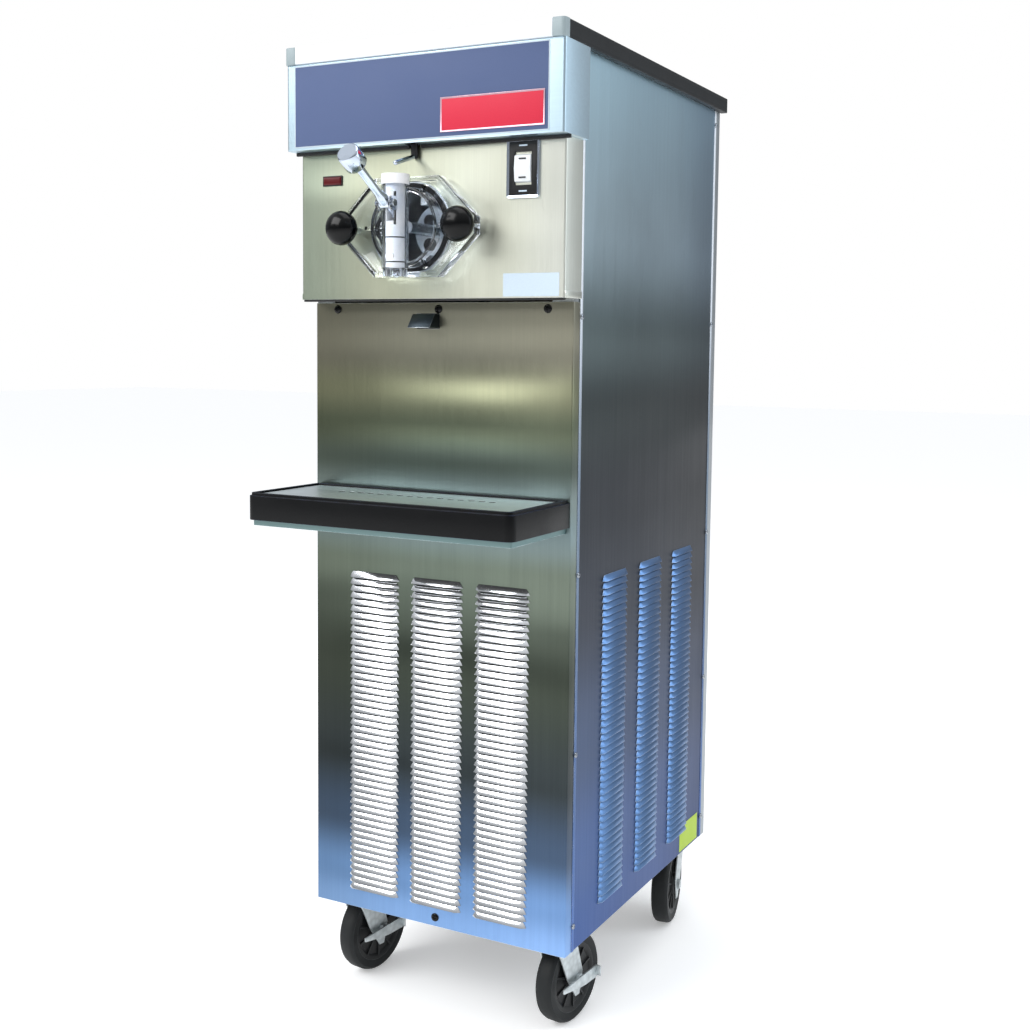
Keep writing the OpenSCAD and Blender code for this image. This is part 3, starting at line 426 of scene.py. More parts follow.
def clear_moulding():
    """Clear plastic of the dispensing door."""
    f = Finish("clear_moulding", srgb(250, 252, 255), 0.03, 0.0, Transmission_Weight=1.0, IOR=1.46)
    haze = f.use("mottle", Scale=30.0, Low=0.45, High=0.8)
    f.tint(haze["Mask"], srgb(226, 236, 250))
    f.rougher(haze["Mask"], 0.05)
    f.relief(f.use("skin", Scale=60.0, Depth=0.03)["Normal"])
    ray = f.tree.nodes.new("ShaderNodeLightPath").outputs["Is Shadow Ray"]
    through = joined_up(f.tree, "BsdfTransparent", {"Color": (0.97, 0.985, 1.0, 1.0)})
    both = joined_up(f.tree, "MixShader", {0: ray, 1: f.shader.outputs[0], 2: through.outputs[0]})
    f.tree.links.new(both.outputs[0], f.tree.nodes["Material Output"].inputs["Surface"])
    return f.done()


def foamed():
    f = Finish("rigid_foam", srgb(214, 196, 140), 0.92)
    cells = joined_up(f.tree, "TexVoronoi", {"Vector": f.place, "Scale": 450.0}).outputs["Distance"]
    f.tint(spread_between(f.tree, cells, 0.1, 0.7), srgb(176, 152, 98))
    f.dust(0.4, (140, 128, 104))
    bump = joined_up(f.tree, "Bump", {"Strength": 0.5, "Distance": 0.0008, "Height": cells})
    f.relief(bump.outputs[0])
    return f.done()


UP_GRAIN = (900, 900, 10)
SIDE_GRAIN = (10, 900, 900)
DEEP_GRAIN = (900, 10, 900)
EVEN_GRAIN = (500, 500, 500)

# Painted reflections: the stops band the front sheet from bottom to top with reflections of the floor, the room
# and the drip tray, and the X ramp paints its left side darker than its right.
front_steel = brushed_sheet("front_sheet_steel", UP_GRAIN, [
    (0.0, (136, 172, 222)), (0.05, (110, 144, 190)), (0.11, (68, 84, 106)), (0.19, (56, 62, 64)),
    (0.3, (64, 70, 62)), (0.42, (112, 122, 110)), (0.47, (144, 162, 164)), (0.5, (132, 146, 144)),
    (0.54, (90, 100, 92)), (0.58, (110, 118, 98)), (0.62, (150, 152, 124)), (0.66, (142, 140, 124))],
    ("X", -0.21, 0.21, [(0.0, (208, 208, 204)), (0.5, (232, 234, 234)), (1.0, (255, 255, 255))]), wave=1.4)
# Painted reflections: blue at the bottom, dark in the middle, bright at the top; the Y ramp paints the side
# lighter at the front than at the rear.
side_steel = brushed_sheet("side_sheet_steel", UP_GRAIN, [
    (0.0, (54, 88, 150)), (0.1, (58, 88, 140)), (0.22, (52, 72, 106)), (0.38, (38, 46, 60)),
    (0.5, (34, 41, 50)), (0.6, (58, 68, 70)), (0.68, (112, 128, 130)), (0.8, (196, 218, 228)),
    (1.0, (206, 240, 255))],
    ("Y", -0.18, 0.34, [(0.0, (255, 255, 255)), (0.55, (226, 226, 228)), (1.0, (176, 178, 186))]), 0.3, 0.25)
# Painted light: the X ramp makes the head panel darker on the left and lighter on the right.
head_steel = brushed_sheet("head_sheet_steel", UP_GRAIN, None, ("X", -0.21, 0.21, [
    (0.0, (186, 196, 184)), (0.35, (206, 208, 192)), (0.75, (240, 240, 232)), (1.0, (255, 255, 255))]),
    wave=0.5, colour=(222, 224, 214))
# Its blue tint is a painted reflection.
header_steel = brushed_sheet("header_sheet_steel", SIDE_GRAIN, roughness=0.3, colour=(190, 212, 224))
# Painted reflections: blue at the bottom of the edge strips, white at the top.
strip_steel = brushed_sheet("edge_strip_steel", UP_GRAIN, [
    (0.0, (92, 124, 184)), (0.2, (88, 114, 158)), (0.5, (132, 148, 166)), (0.8, (246, 250, 255))], None, 0.5)
# Darker than the other sheets: painted shade, the shelf lying under the tray.
shelf_steel = brushed_sheet("shelf_sheet_steel", SIDE_GRAIN, roughness=0.4, colour=(118, 142, 142))
# Dark steel: painted shade for the drip drawer in its shadowed slot.
drawer_steel = brushed_sheet("drawer_shaded_steel", SIDE_GRAIN, roughness=0.3, colour=(58, 66, 72))
# Lighter than the other sheets: painted light on the tray insert.
insert_steel = brushed_sheet("insert_steel", SIDE_GRAIN, colour=(236, 246, 250), wear=0.0)
top_steel = brushed_sheet("deck_sheet_steel", SIDE_GRAIN, roughness=0.32)
rear_steel = brushed_sheet("rear_sheet_steel", UP_GRAIN, roughness=0.36, wave=0.3, colour=(170, 176, 180))
drawn_steel = brushed_sheet("drawn_steel", EVEN_GRAIN, roughness=0.24, colour=(204, 210, 214))
# Near white: a painted highlight, the front louvres facing the light.
louvre_steel = polished("louvre_steel", (250, 252, 255), 0.14, 0.05)
# Blue: a painted reflection on the side louvres.
side_louvre_steel = brushed_sheet("side_louvre_steel", DEEP_GRAIN, roughness=0.28, colour=(104, 138, 184))
chrome = polished("chrome_plate", (206, 216, 230))
screw_steel = polished("screw_steel", (150, 156, 164), 0.22)
zinc = zinc_plate("bright_zinc", (205, 212, 214))
galvanised = zinc_plate("galvanised_sheet", (150, 154, 156), 0.5)
fascia_paint = moulded("fascia_film", (84, 98, 134), 0.6, 0.06, 1400.0, 0.0, 0.3, (190, 200, 214),
                       Specular_IOR_Level=0.2)
fascia_line = moulded("fascia_line", (188, 202, 212), 0.4, 0.05, 1400.0, 0.0, 0.2)
badge_rim = polished("badge_rim", (196, 160, 172), 0.4, 0.05)
badge_red = moulded("badge_enamel", (206, 42, 66), 0.5, 0.03, 600.0, 0.0, 0.2, (225, 150, 150),
                    Specular_IOR_Level=0.25)
white_trim = moulded("white_trim_paint", (226, 231, 236), 0.3, 0.05, 700.0, 0.04, 0.3)
black_trim = moulded("black_trim_extrusion", (12, 15, 18), 0.5, 0.12, 900.0, 0.03, 0.3, Specular_IOR_Level=0.3)
cap_plastic = moulded("corner_cap_plastic", (148, 162, 166), 0.45, 0.14, 700.0, 0.08, 0.2)
black_plastic = moulded("black_moulding", (10, 11, 13), 0.4, 0.14, 700.0, 0.03, 0.3, Specular_IOR_Level=0.3)
# Its light blue edge colour, at a high amount, paints highlights along the rim's ribs.
tray_plastic = moulded("tray_moulding", (2, 3, 5), 0.36, 0.2, 420.0, 0.0, 0.7, (104, 122, 168),
                       Specular_IOR_Level=0.18)
knob_plastic = moulded("knob_phenolic", (1, 2, 3), 0.16, 0.02, 500.0, 0.0, 0.0, Specular_IOR_Level=0.22)
white_plastic = moulded("white_moulding", (228, 232, 234), 0.34, 0.06, 600.0, 0.05, 0.15)
plunger_white = moulded("plunger_moulding", (252, 253, 255), 0.25, 0.05, 500.0, 0.0, 0.1)
label_vinyl = moulded("label_vinyl", (196, 212, 226), 0.4, 0.04, 900.0, 0.0, 0.1)
sticker_vinyl = moulded("sticker_vinyl", (176, 206, 24), 0.4, 0.05, 900.0, 0.08, 0.2)
red_lens = moulded("red_lens", (84, 1, 7), 0.3, 0.05, 900.0, 0.0, 0.0, Specular_IOR_Level=0.3)
seal = moulded("seal_rubber", (16, 16, 17), 0.6, 0.2, 500.0, 0.1, 0.1)
tyre = moulded("tyre_rubber", (17, 21, 23), 0.6, 0.3, 380.0, 0.1, 0.6, (104, 112, 114),
               Specular_IOR_Level=0.35)
hub = moulded("wheel_hub_moulding", (14, 17, 19), 0.45, 0.22, 520.0, 0.1, 0.3, Specular_IOR_Level=0.35)
clear = clear_moulding()
foam = foamed()
iron = cast_metal("cast_iron_enamel", (74, 112, 116), 0.5, 0.0)
machine_black = cast_metal("machine_black_enamel", (24, 25, 27), 0.38, 0.0, 400.0, 0.2)
frame_steel = cast_metal("frame_enamel", (84, 88, 92), 0.5, 0.3, 500.0, 0.2)
aluminium = zinc_plate("aluminium_plate", (196, 200, 204), 0.36)
copper = polished("copper_tube", (196, 120, 82), 0.26, 0.25)


# Modelling steps ------


def only(obj):
    """Leaves this object alone selected and active, in object mode."""
    if bpy.context.object and bpy.context.object.mode != "OBJECT":
        bpy.ops.object.mode_set(mode="OBJECT")
    bpy.ops.object.select_all(action="DESELECT")
    obj.select_set(True)
    bpy.context.view_layer.objects.active = obj


def settle(obj):
    """Sets the object's place, turn and size into its mesh."""
    only(obj)
    bpy.ops.object.transform_apply(location=True, rotation=True, scale=True)
    return obj


def choose(obj, test, kind="FACE"):
    """Opens the mesh with only the faces, edges or vertices that pass the test selected."""
    only(obj)
    bpy.ops.object.mode_set(mode="EDIT")
    bpy.ops.mesh.select_mode(type=kind)
    bpy.ops.mesh.select_all(action="DESELECT")
    shape = bmesh.from_edit_mesh(obj.data)
    for item in {"FACE": shape.faces, "EDGE": shape.edges, "VERT": shape.verts}[kind]:
        if test(item):
            item.select_set(True)
    shape.select_flush_mode()
    bmesh.update_edit_mesh(obj.data)


def close_mesh():
    bpy.ops.object.mode_set(mode="OBJECT")


def close_outward():
    """Welds the mesh, turns its faces outwards and closes it."""
    bpy.ops.mesh.select_all(action="SELECT")
    bpy.ops.mesh.remove_doubles(threshold=0.001)
    bpy.ops.mesh.normals_make_consistent(inside=False)
    close_mesh()


def facing(axis, sign):
    return lambda face: face.normal[axis] * sign > 0.98


def along(axis, *tests):
    """Edges that run along an axis and whose middle passes the tests."""
    def passes(edge):
        a, b = (v.co for v in edge.verts)
        run = b - a
        return abs(run[axis]) > 0.99 * run.length and all(test((a + b) / 2) for test in tests)
    return passes


def block(lo, hi, bevel=0.0, segments=2, edges=None):
    """A box between two corners, with its edges rounded, or only those that pass."""
    lo, hi = Vector(lo), Vector(hi)
    bpy.ops.object.select_all(action="DESELECT")
    bpy.ops.mesh.primitive_cube_add(size=1, location=(lo + hi) / 2)
    obj = bpy.context.object
    obj.scale = hi - lo
    settle(obj)
    if bevel:
        round_off(obj, edges or (lambda edge: True), bevel, segments)
    return obj


def round_off(obj, edges, bevel, segments=2):
    choose(obj, edges, "EDGE")
    bpy.ops.mesh.bevel(offset=bevel, segments=segments, affect="EDGES")
    close_mesh()


def turned(profile, sides=48, turn=(0, 0, 0), place=(0, 0, 0)):
    """A disc extruded and resized through (radius, height) pairs along +Z, then turned into place."""
    (radius, height), *rest = profile
    bpy.ops.object.select_all(action="DESELECT")
    bpy.ops.mesh.primitive_circle_add(vertices=sides, radius=radius, fill_type="NGON", location=(0, 0, height))
    obj = settle(bpy.context.object)
    choose(obj, lambda face: True)
    for next_radius, next_height in rest:
        pull(0, 0, next_height - height)
        size = next_radius / radius
        bpy.ops.transform.resize(value=(size, size, 1), center_override=(0, 0, 0))
        radius, height = next_radius, next_height
    close_outward()
    obj.rotation_euler = turn
    obj.location = place
    return settle(obj)


def there_and_back(profile):
    """The other half of a profile that is the same both ways from height 0."""
    return [(radius, -height) for radius, height in reversed(profile)]


FORWARD = (math.pi / 2, 0, 0)
BACKWARD = (-math.pi / 2, 0, 0)
RIGHTWARD = (0, math.pi / 2, 0)
MIRROR = Matrix.Scale(-1, 4, (1, 0, 0))


def joined(first, *others):
    only(first)
    for other in others:
        other.select_set(True)
    bpy.ops.object.join()
    return first


def cut(obj, tool, operation="DIFFERENCE"):
    """Takes the tool out of the object, or adds it on, and puts the tool away."""
    only(obj)
    step = obj.modifiers.new("cut", "BOOLEAN")
    step.object, step.operation, step.solver = tool, operation, "EXACT"
    bpy.ops.object.modifier_apply(modifier=step.name)
    bpy.data.objects.remove(tool)
    return obj


def with_wall(obj, thickness):
    """Gives an open skin its wall, on the inside."""
    only(obj)
    step = obj.modifiers.new("wall", "SOLIDIFY")
    step.thickness, step.offset, step.use_even_offset = thickness, -1, True
    bpy.ops.object.modifier_apply(modifier=step.name)
    return obj


def softened(obj, width, segments=2, angle=40):
    """Rounds every edge sharper than the angle."""
    only(obj)
    step = obj.modifiers.new("soften", "BEVEL")
    step.width, step.segments, step.limit_method = width, segments, "ANGLE"
    step.angle_limit = math.radians(angle)
    bpy.ops.object.modifier_apply(modifier=step.name)
    return obj


def row_of(obj, count, step):
    """Repeats a shape along a step, as one mesh."""
    only(obj)
    repeat = obj.modifiers.new("row", "ARRAY")
    repeat.count, repeat.use_relative_offset, repeat.use_constant_offset = count, False, True
    repeat.constant_offset_displace = step
    bpy.ops.object.modifier_apply(modifier=repeat.name)
    return obj


def at(x, y, z):
    return Matrix.Translation((x, y, z))


def spun(degrees, axis):
    return Matrix.Rotation(math.radians(degrees), 4, axis)


def copy_of(obj, matrix):
    twin = obj.copy()
    twin.data = obj.data.copy()
    bpy.context.scene.collection.objects.link(twin)
    return moved(twin, matrix)


def moved(obj, matrix):
    obj.data.transform(matrix)
    if matrix.determinant() < 0:
        obj.data.flip_normals()
    return obj


def shift(obj, test, by):
    """Moves the vertices that pass the test."""
    choose(obj, test, "VERT")
    bpy.ops.transform.translate(value=by)
    close_mesh()


def pull(x, y, z):
    """Extrudes what is selected."""
    bpy.ops.mesh.extrude_region_move(TRANSFORM_OT_translate={"value": (x, y, z)})


def dish(obj, test, width, by):
    """Insets the faces that pass the test and moves what is inside."""
    choose(obj, test)
    bpy.ops.mesh.inset(thickness=width)
    bpy.ops.transform.translate(value=by)
    close_mesh()


def loop_cut(obj, point, normal):
    """Cuts an edge loop into the whole mesh along a plane."""
    choose(obj, lambda face: True)
    bpy.ops.mesh.bisect(plane_co=point, plane_no=normal)
    close_mesh()


def removed(obj, test):
    choose(obj, test)
    bpy.ops.mesh.delete(type="FACE")
    close_mesh()
    return obj


def piece(obj, name, finish, body="cabinet", replaces=(), smooth=35):
    """Finishes a piece: its place, name, shading, material, body and the nodes it stands for."""
    obj.data.transform(TO_ROW)
    only(obj)
    bpy.ops.object.shade_smooth_by_angle(angle=math.radians(smooth))
    obj.name = obj.data.name = name
    obj.data.materials.clear()
    obj.data.materials.append(finish)
    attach(obj, body)
    if replaces:
        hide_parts(*replaces)
    return obj


# Sizes read off the frame, in cabinet millimetres ------

SHEET = 1.5
half_w = span("deck_panel")[1].x
depth = span("deck_panel")[1].y
cabinet_top = span("side_trims")[0].z
fold = span("front_panel")[1].y
panel_top = span("front_panel")[1].z
head_lo, head_hi = span("head_panel")
shell_lo, shell_hi = span("header_shell")
door_mid = middle("door_gasket")
door_x, door_z = door_mid.x, door_mid.z
plate_back = span("door_gasket")[0].y
plate_front = plate_back - 12
barrel_y = middle("plunger_rings").y
pin = middle("handle_pivot_pin")
SIDE_INSET = fold + 0.5
STRIP_W = 7


# Louvred sheets ------

LOUVRE_W = 84
LOUVRE_PITCH = 9.85
LOUVRE_OUT = 5.4
LIP_Z = 1.5
SCOOP_WALL = 0.8
FRONT_GAP, SIDE_GAP = 20.5, 46.6
SIDE_LOUVRE_MID = 276.1
FRONT_LOW, SIDE_LOW, REAR_LOW = 27, 36, 420
TALL_COUNT, REAR_COUNT = 48, 24
FLANGE_HOLE_R, GLAND_HOLE_R = 56.5, 9


def louvre_scoop():
    """One pressed louvre: open at its lip, rounded up into the sheet, pinched in at its ends."""
    height = LOUVRE_PITCH - LIP_Z
    bpy.ops.object.select_all(action="DESELECT")
    bpy.ops.mesh.primitive_grid_add(x_subdivisions=3, y_subdivisions=3, size=1, rotation=FORWARD)
    obj = bpy.context.object
    obj.scale = (LOUVRE_W, height, 1)
    obj.location = (LOUVRE_W / 2, 0, LIP_Z + height / 2)
    settle(obj)
    end_run = 7
    inner = LOUVRE_W / 2 - end_run
    choose(obj, lambda v: abs(v.co.x - LOUVRE_W / 2) < LOUVRE_W / 3, "VERT")
    bpy.ops.transform.resize(value=(inner / (LOUVRE_W / 6), 1, 1), center_override=(LOUVRE_W / 2, 0, 0))
    close_mesh()
    for share, out, narrow in ((0, 1.0, 1.0), (1 / 3, 0.86, 0.97), (2 / 3, 0.5, 0.93), (1, 0.0, 0.88)):
        z = LIP_Z + height * share
        choose(obj, lambda v: abs(v.co.z - z) < 0.1, "VERT")
        bpy.ops.transform.resize(value=(narrow, 1, 1), center_override=(LOUVRE_W / 2, 0, 0))
        close_mesh()
        shift(obj, lambda v: abs(v.co.z - z) < 0.1 and abs(v.co.x - LOUVRE_W / 2) < LOUVRE_W / 2 - 5,
              (0, -out * (LOUVRE_OUT - SCOOP_WALL), 0))
    if obj.data.polygons[0].normal.y > 0:
        obj.data.flip_normals()
    only(obj)
    step = obj.modifiers.new("wall", "SOLIDIFY")
    step.thickness, step.offset = SCOOP_WALL, 1
    bpy.ops.object.modifier_apply(modifier=step.name)
    return obj


def louvre_bank(columns, bottom, count):
    """Columns of louvres on a sheet whose outer face is y = 0: the scoops, and the slits behind them."""
    scoops, slits = [], []
    for x in columns:
        scoop = row_of(louvre_scoop(), count, (0, 0, LOUVRE_PITCH))
        slit = row_of(block((4, -3, 0.4), (LOUVRE_W - 4, 3, LIP_Z)), count, (0, 0, LOUVRE_PITCH))
        scoops.append(moved(scoop, at(x, 0.2, bottom)))
        slits.append(moved(slit, at(x, 0, bottom)))
    return joined(*scoops), joined(*slits)


def column_starts(centre, gap):
    return [centre - LOUVRE_W / 2 + i * (LOUVRE_W + gap) for i in (-1, 0, 1)]


def folded_front(lo, hi, radius, open_ends=False):
    """A sheet folded back at both sides, open behind, and open at its top and bottom if asked."""
    skin = removed(block(lo, hi), facing(1, 1))
    if open_ends:
        removed(skin, lambda face: abs(face.normal.z) > 0.9)
    round_off(skin, along(2, lambda mid: mid.y < lo[1] + 0.1), radius, 3)
    return with_wall(skin, SHEET)


def drawer_slot():
    lo, hi = span("drip_drawer")
    return block((lo.x - 1, -5, lo.z - 1), (hi.x + 1, 5, hi.z + 1))


def make_front_panel():
    sheet = folded_front((-half_w, 0, 0), (half_w, fold, panel_top), 2, open_ends=True)
    scoops, slits = louvre_bank(column_starts(0, FRONT_GAP), FRONT_LOW, TALL_COUNT)
    cut(sheet, slits)
    cut(sheet, drawer_slot())
    piece(sheet, "front_panel_sheet", front_steel, replaces=["front_panel"])
    piece(scoops, "front_louvres", louvre_steel, replaces=["front_panel"])


def side_sheet():
    """A side panel in its own plane: outer face y = 0, raised strips at both edges."""
    left, right = SIDE_INSET, depth - SIDE_INSET
    sheet = block((left, 0, 0), (right, SHEET, cabinet_top), 0.3, 1)
    scoops, slits = louvre_bank(column_starts(SIDE_LOUVRE_MID, SIDE_GAP), SIDE_LOW, TALL_COUNT)
    cut(sheet, slits)
    strips = [block((x, -0.8, 0.2), (x + STRIP_W, SHEET / 2, cabinet_top - 0.2), 0.35, 2)
              for x in (left, right - STRIP_W)]
    return sheet, scoops, joined(*strips)


def make_side_panels():
    sheet, scoops, strips = side_sheet()
    to_right = at(half_w, 0, 0) @ spun(90, "Z")
    to_left = MIRROR @ to_right
    shapes = ((sheet, "_side_sheet", side_steel), (scoops, "_side_louvres", side_louvre_steel),
              (strips, "_edge_strips", strip_steel))
    for side, place in (("left", to_left), ("right", to_right)):
        for shape, name, finish in shapes:
            piece(copy_of(shape, place), side + name, finish, replaces=[side + "_side_panel"])
    for shape in (sheet, scoops, strips):
        bpy.data.objects.remove(shape)


def make_rear_panel():
    sheet = folded_front((-half_w, 0, 0), (half_w, fold, cabinet_top), 2, open_ends=True)
    scoops, slits = louvre_bank(column_starts(0, FRONT_GAP), REAR_LOW, REAR_COUNT)
    cut(sheet, slits)
    gland = middle("cord_gland")
    cut(sheet, turned([(GLAND_HOLE_R, -5), (GLAND_HOLE_R, 5)], 32, FORWARD, (-gland.x, 0, gland.z)))
    turn = at(0, depth, 0) @ spun(180, "Z")
    piece(moved(sheet, turn), "rear_panel_sheet", rear_steel, replaces=["rear_panel"])
    piece(moved(scoops, turn), "rear_louvres", rear_steel, replaces=["rear_panel"])


# Head, header and top ------

def make_head_panel():
    lo, hi = (head_lo.x, head_lo.y, head_lo.z), (head_hi.x, head_hi.y, shell_lo.z - 0.2)
    sheet = folded_front(lo, hi, 2.5)
    flange = middle("door_gasket")
    hole = [(FLANGE_HOLE_R, -8), (FLANGE_HOLE_R, 8)]
    cut(sheet, turned(hole, 64, FORWARD, (flange.x, head_lo.y, flange.z)))
    hems = [block((s * head_hi.x - 0.2 if s > 0 else -head_hi.x - 0.9, head_lo.y + 1, head_lo.z),
                  (s * head_hi.x + 0.9 if s > 0 else 0.2 - head_hi.x, head_hi.y, head_lo.z + 9), 0.4)
            for s in (-1, 1)]
    piece(joined(sheet, *hems), "head_panel_sheet", head_steel, replaces=["head_panel"])
    # A black strip under the head panel: painted shadow along its lower edge.
    strip = block((head_lo.x + 2, head_lo.y + 1, head_lo.z - 3),
                  (head_hi.x - 2, head_lo.y + 8, head_lo.z), 0.6, 2)
    piece(strip, "head_lower_shade_strip", seal)


LEVER_GAP = 9
HEADER_SHADE_H = 4.5
BORDER_LINE = 1.6


def make_header():
    sheet = folded_front(tuple(shell_lo), tuple(shell_hi), 3)
    lever = middle("draw_switch_lever")
    cut(sheet, block((lever.x - LEVER_GAP, head_lo.y - 20, shell_lo.z - 5),
                     (lever.x + LEVER_GAP, head_lo.y + 1, shell_lo.z + 5)))
    piece(sheet, "header_sheet", header_steel, replaces=["header_shell"])
    lo, hi = span("header_fascia")
    film = block(lo, hi, 0.25)
    piece(film, "header_fascia_film", fascia_paint, replaces=["header_fascia"])
    # Black strips under the header, beside the lever gap: painted shadow where the header overhangs the head
    # panel.
    for side, x0, x1 in (("left", shell_lo.x + 1, lever.x - LEVER_GAP),
                         ("right", lever.x + LEVER_GAP, shell_hi.x - 1)):
        strip = block((x0, head_lo.y - 4, shell_lo.z - HEADER_SHADE_H),
                      (x1, head_lo.y + 0.1, shell_lo.z + 0.1), 0.6, 2)
        piece(strip, side + "_header_seal", seal)
    frame_line = block((lo.x - BORDER_LINE, lo.y + 0.25, lo.z - BORDER_LINE),
                       (hi.x + BORDER_LINE, hi.y + 0.2, hi.z + BORDER_LINE))
    cut(frame_line, block((lo.x, lo.y - 5, lo.z), (hi.x, hi.y + 5, hi.z)))
    piece(softened(frame_line, 0.15, 1), "fascia_border_line", fascia_line)
    make_badge(hi.x, lo.y, lo.z)


BADGE_W, BADGE_H = 154, 45
BADGE_FROM_RIGHT, BADGE_FROM_BOTTOM = 4, 5


def make_badge(right, face, bottom):
    """A plain blank plate: square-cornered enamel in a thin metal frame."""
    edge, foot = right - BADGE_FROM_RIGHT, bottom + BADGE_FROM_BOTTOM
    lo, hi = Vector((edge - BADGE_W, face - 1.2, foot)), Vector((edge, face + 0.1, foot + BADGE_H))
    rim = block(lo, hi, 0.5)
    dish(rim, facing(1, -1), 1.8, (0, 0.6, 0))
    piece(rim, "badge_frame", badge_rim)
    rim_w = 2.3
    enamel = block((lo.x + rim_w, lo.y + 0.2, lo.z + rim_w), (hi.x - rim_w, lo.y + 0.9, hi.z - rim_w), 0.3, 3)
    piece(enamel, "badge_blank_enamel", badge_red)


def make_trims():
    lo, hi = span("front_trim")
    piece(block(lo, hi, 0.9, 3), "front_trim_strip", white_trim, replaces=["front_trim"])
    lo, hi = span("side_trims")
    rail = block((half_w, lo.y, lo.z), (hi.x, hi.y, hi.z), 1.2, 3)
    dish(rail, facing(0, 1), 5, (-0.7, 0, 0))
    other = copy_of(rail, MIRROR)
    piece(joined(rail, other), "side_trim_rails", black_trim, replaces=["side_trims"])
    lo, hi = span("trim_corner_caps")
    cap_w = 18
    cap = block((hi.x - cap_w, lo.y, lo.z), (hi.x, lo.y + 14, hi.z))
    round_off(cap, along(2, lambda mid: mid.x > hi.x - 1 and mid.y < lo.y + 1), 6, 6)
    cut(cap, block((hi.x - cap_w - 1, lo.y + 4, lo.z - 1), (half_w, lo.y + 20, hi.z + 1)))
    softened(cap, 0.8, 2, 50)
    for name, shape in (("right", cap), ("left", copy_of(cap, MIRROR))):
        piece(shape, name + "_corner_cap", cap_plastic, replaces=["trim_corner_caps"])


def make_deck():
    lo, hi = span("deck_panel")
    skin = removed(block(lo, hi), facing(2, -1))
    round_off(skin, lambda edge: min(v.co.z for v in edge.verts) > hi.z - 0.1, 1.6, 3)
    with_wall(skin, SHEET)
    well_lo, well_hi = span("hopper")
    cut(skin, block((well_lo.x + 11, well_lo.y + 11, hi.z - 10), (well_hi.x - 11, well_hi.y - 11, hi.z + 10)))
    piece(skin, "deck_sheet", top_steel, replaces=["deck_panel"])


def make_hopper():
    """The deep-drawn tank, with its flange on the deck and the hole for its feed tube."""
    lo, hi = span("hopper")
    lip = 12
    tank = removed(block((lo.x + lip, lo.y + lip, lo.z), (hi.x - lip, hi.y - lip, hi.z)), facing(2, 1))
    round_off(tank, along(2), 16, 5)
    round_off(tank, lambda edge: max(v.co.z for v in edge.verts) < lo.z + 0.1, 8, 4)
    choose(tank, lambda edge: len(edge.link_faces) == 1, "EDGE")
    pull(0, 0, 0)
    wide, long = hi.x - lo.x, hi.y - lo.y
    centre = (lo + hi) / 2
    bpy.ops.transform.resize(value=(wide / (wide - 2 * lip), long / (long - 2 * lip), 1),
                             center_override=(centre.x, centre.y, hi.z))
    close_mesh()
    with_wall(tank, SHEET)
    feed = middle("mix_feed_tube")
    cut(tank, turned([(10.05, -12), (10.05, 12)], 32, (0, 0, 0), (feed.x, feed.y, lo.z)))
    piece(tank, "hopper_tank", drawn_steel, replaces=["hopper"])


def make_lid():
    lo, hi = span("hopper_lid")
    top = lo.z + 12
    cover = removed(block((lo.x, lo.y, lo.z), (hi.x, hi.y, top)), facing(2, -1))
    round_off(cover, along(2), 20, 6)
    choose(cover, facing(2, 1))
    bpy.ops.mesh.inset(thickness=14)
    pull(0, 0, 0.8)
    bpy.ops.mesh.inset(thickness=1.2)
    close_mesh()
    with_wall(softened(cover, 2.2, 3, 50), 1.6)
    centre = (lo + hi) / 2
    post = [(10, top - 0.5), (10, top + 1), (7.5, top + 2.5), (6, top + 5), (5.6, top + 17), (5, top + 20)]
    posts = [turned(post, 32, (0, 0, 0), (centre.x + s * 50, centre.y, 0)) for s in (-1, 1)]
    bar = turned([(2, -58), (4.2, -57.4), (5, -56), (5, 56), (4.2, 57.4), (2, 58)], 32, RIGHTWARD,
                 (centre.x, centre.y, hi.z - 5))
    piece(cover, "hopper_lid_cover", top_steel, "lid", ["hopper_lid"])
    piece(joined(bar, *posts), "lid_grip_bar", chrome, "lid", ["hopper_lid"])


SCREW_HEIGHTS = (36, 276, 522, 866, 1188)
SCREW_D = 8
FRONT_SCREW_SIZE = Matrix.Diagonal((1.5, 1.2, 1.5, 1))


def pan_head():
    """A pan-head screw standing on y = 0 towards -Y, with a cross recess."""
    r = SCREW_D / 2
    head = turned([(r, -0.2), (r, 0.5), (r * 0.94, 1.1), (r * 0.78, 1.7), (r * 0.5, 2.15), (r * 0.2, 2.3)], 20)
    for size in ((r * 1.05, 0.9), (0.9, r * 1.05)):
        cut(head, block((-size[0] / 2, -size[1] / 2, 1.3), (size[0] / 2, size[1] / 2, 4)))
    return moved(head, spun(90, "X"))


def make_screws():
    head = pan_head()
    strip_mid = SIDE_INSET + STRIP_W / 2
    light, dark = [], []
    for s in (-1, 1):
        for z in SCREW_HEIGHTS:
            for y in (strip_mid, depth - strip_mid):
                turn = spun(s * 90, "Z")
                light.append(copy_of(head, at(s * (half_w + 0.8), y, z) @ turn))
        for z in (40, cabinet_top / 2, cabinet_top - 40):
            turn = spun(180, "Z")
            light.append(copy_of(head, at(s * (half_w - 20), depth, z) @ turn))
    front_x, top_row, low_screw = half_w - 38, panel_top - 9, 13
    for x, z in ((-front_x, top_row), (0, top_row), (front_x, top_row), (0, low_screw)):
        dark.append(copy_of(head, at(x, 0, z) @ FRONT_SCREW_SIZE))
    bpy.data.objects.remove(head)
    piece(joined(*light), "side_and_rear_screws", screw_steel, replaces=["panel_screws"])
    piece(joined(*dark), "front_screws", knob_plastic, replaces=["panel_screws"])


LABEL_W, LABEL_H = 82, 30
STICKER_Y, STICKER_Z = (424, 504), (3, 46)


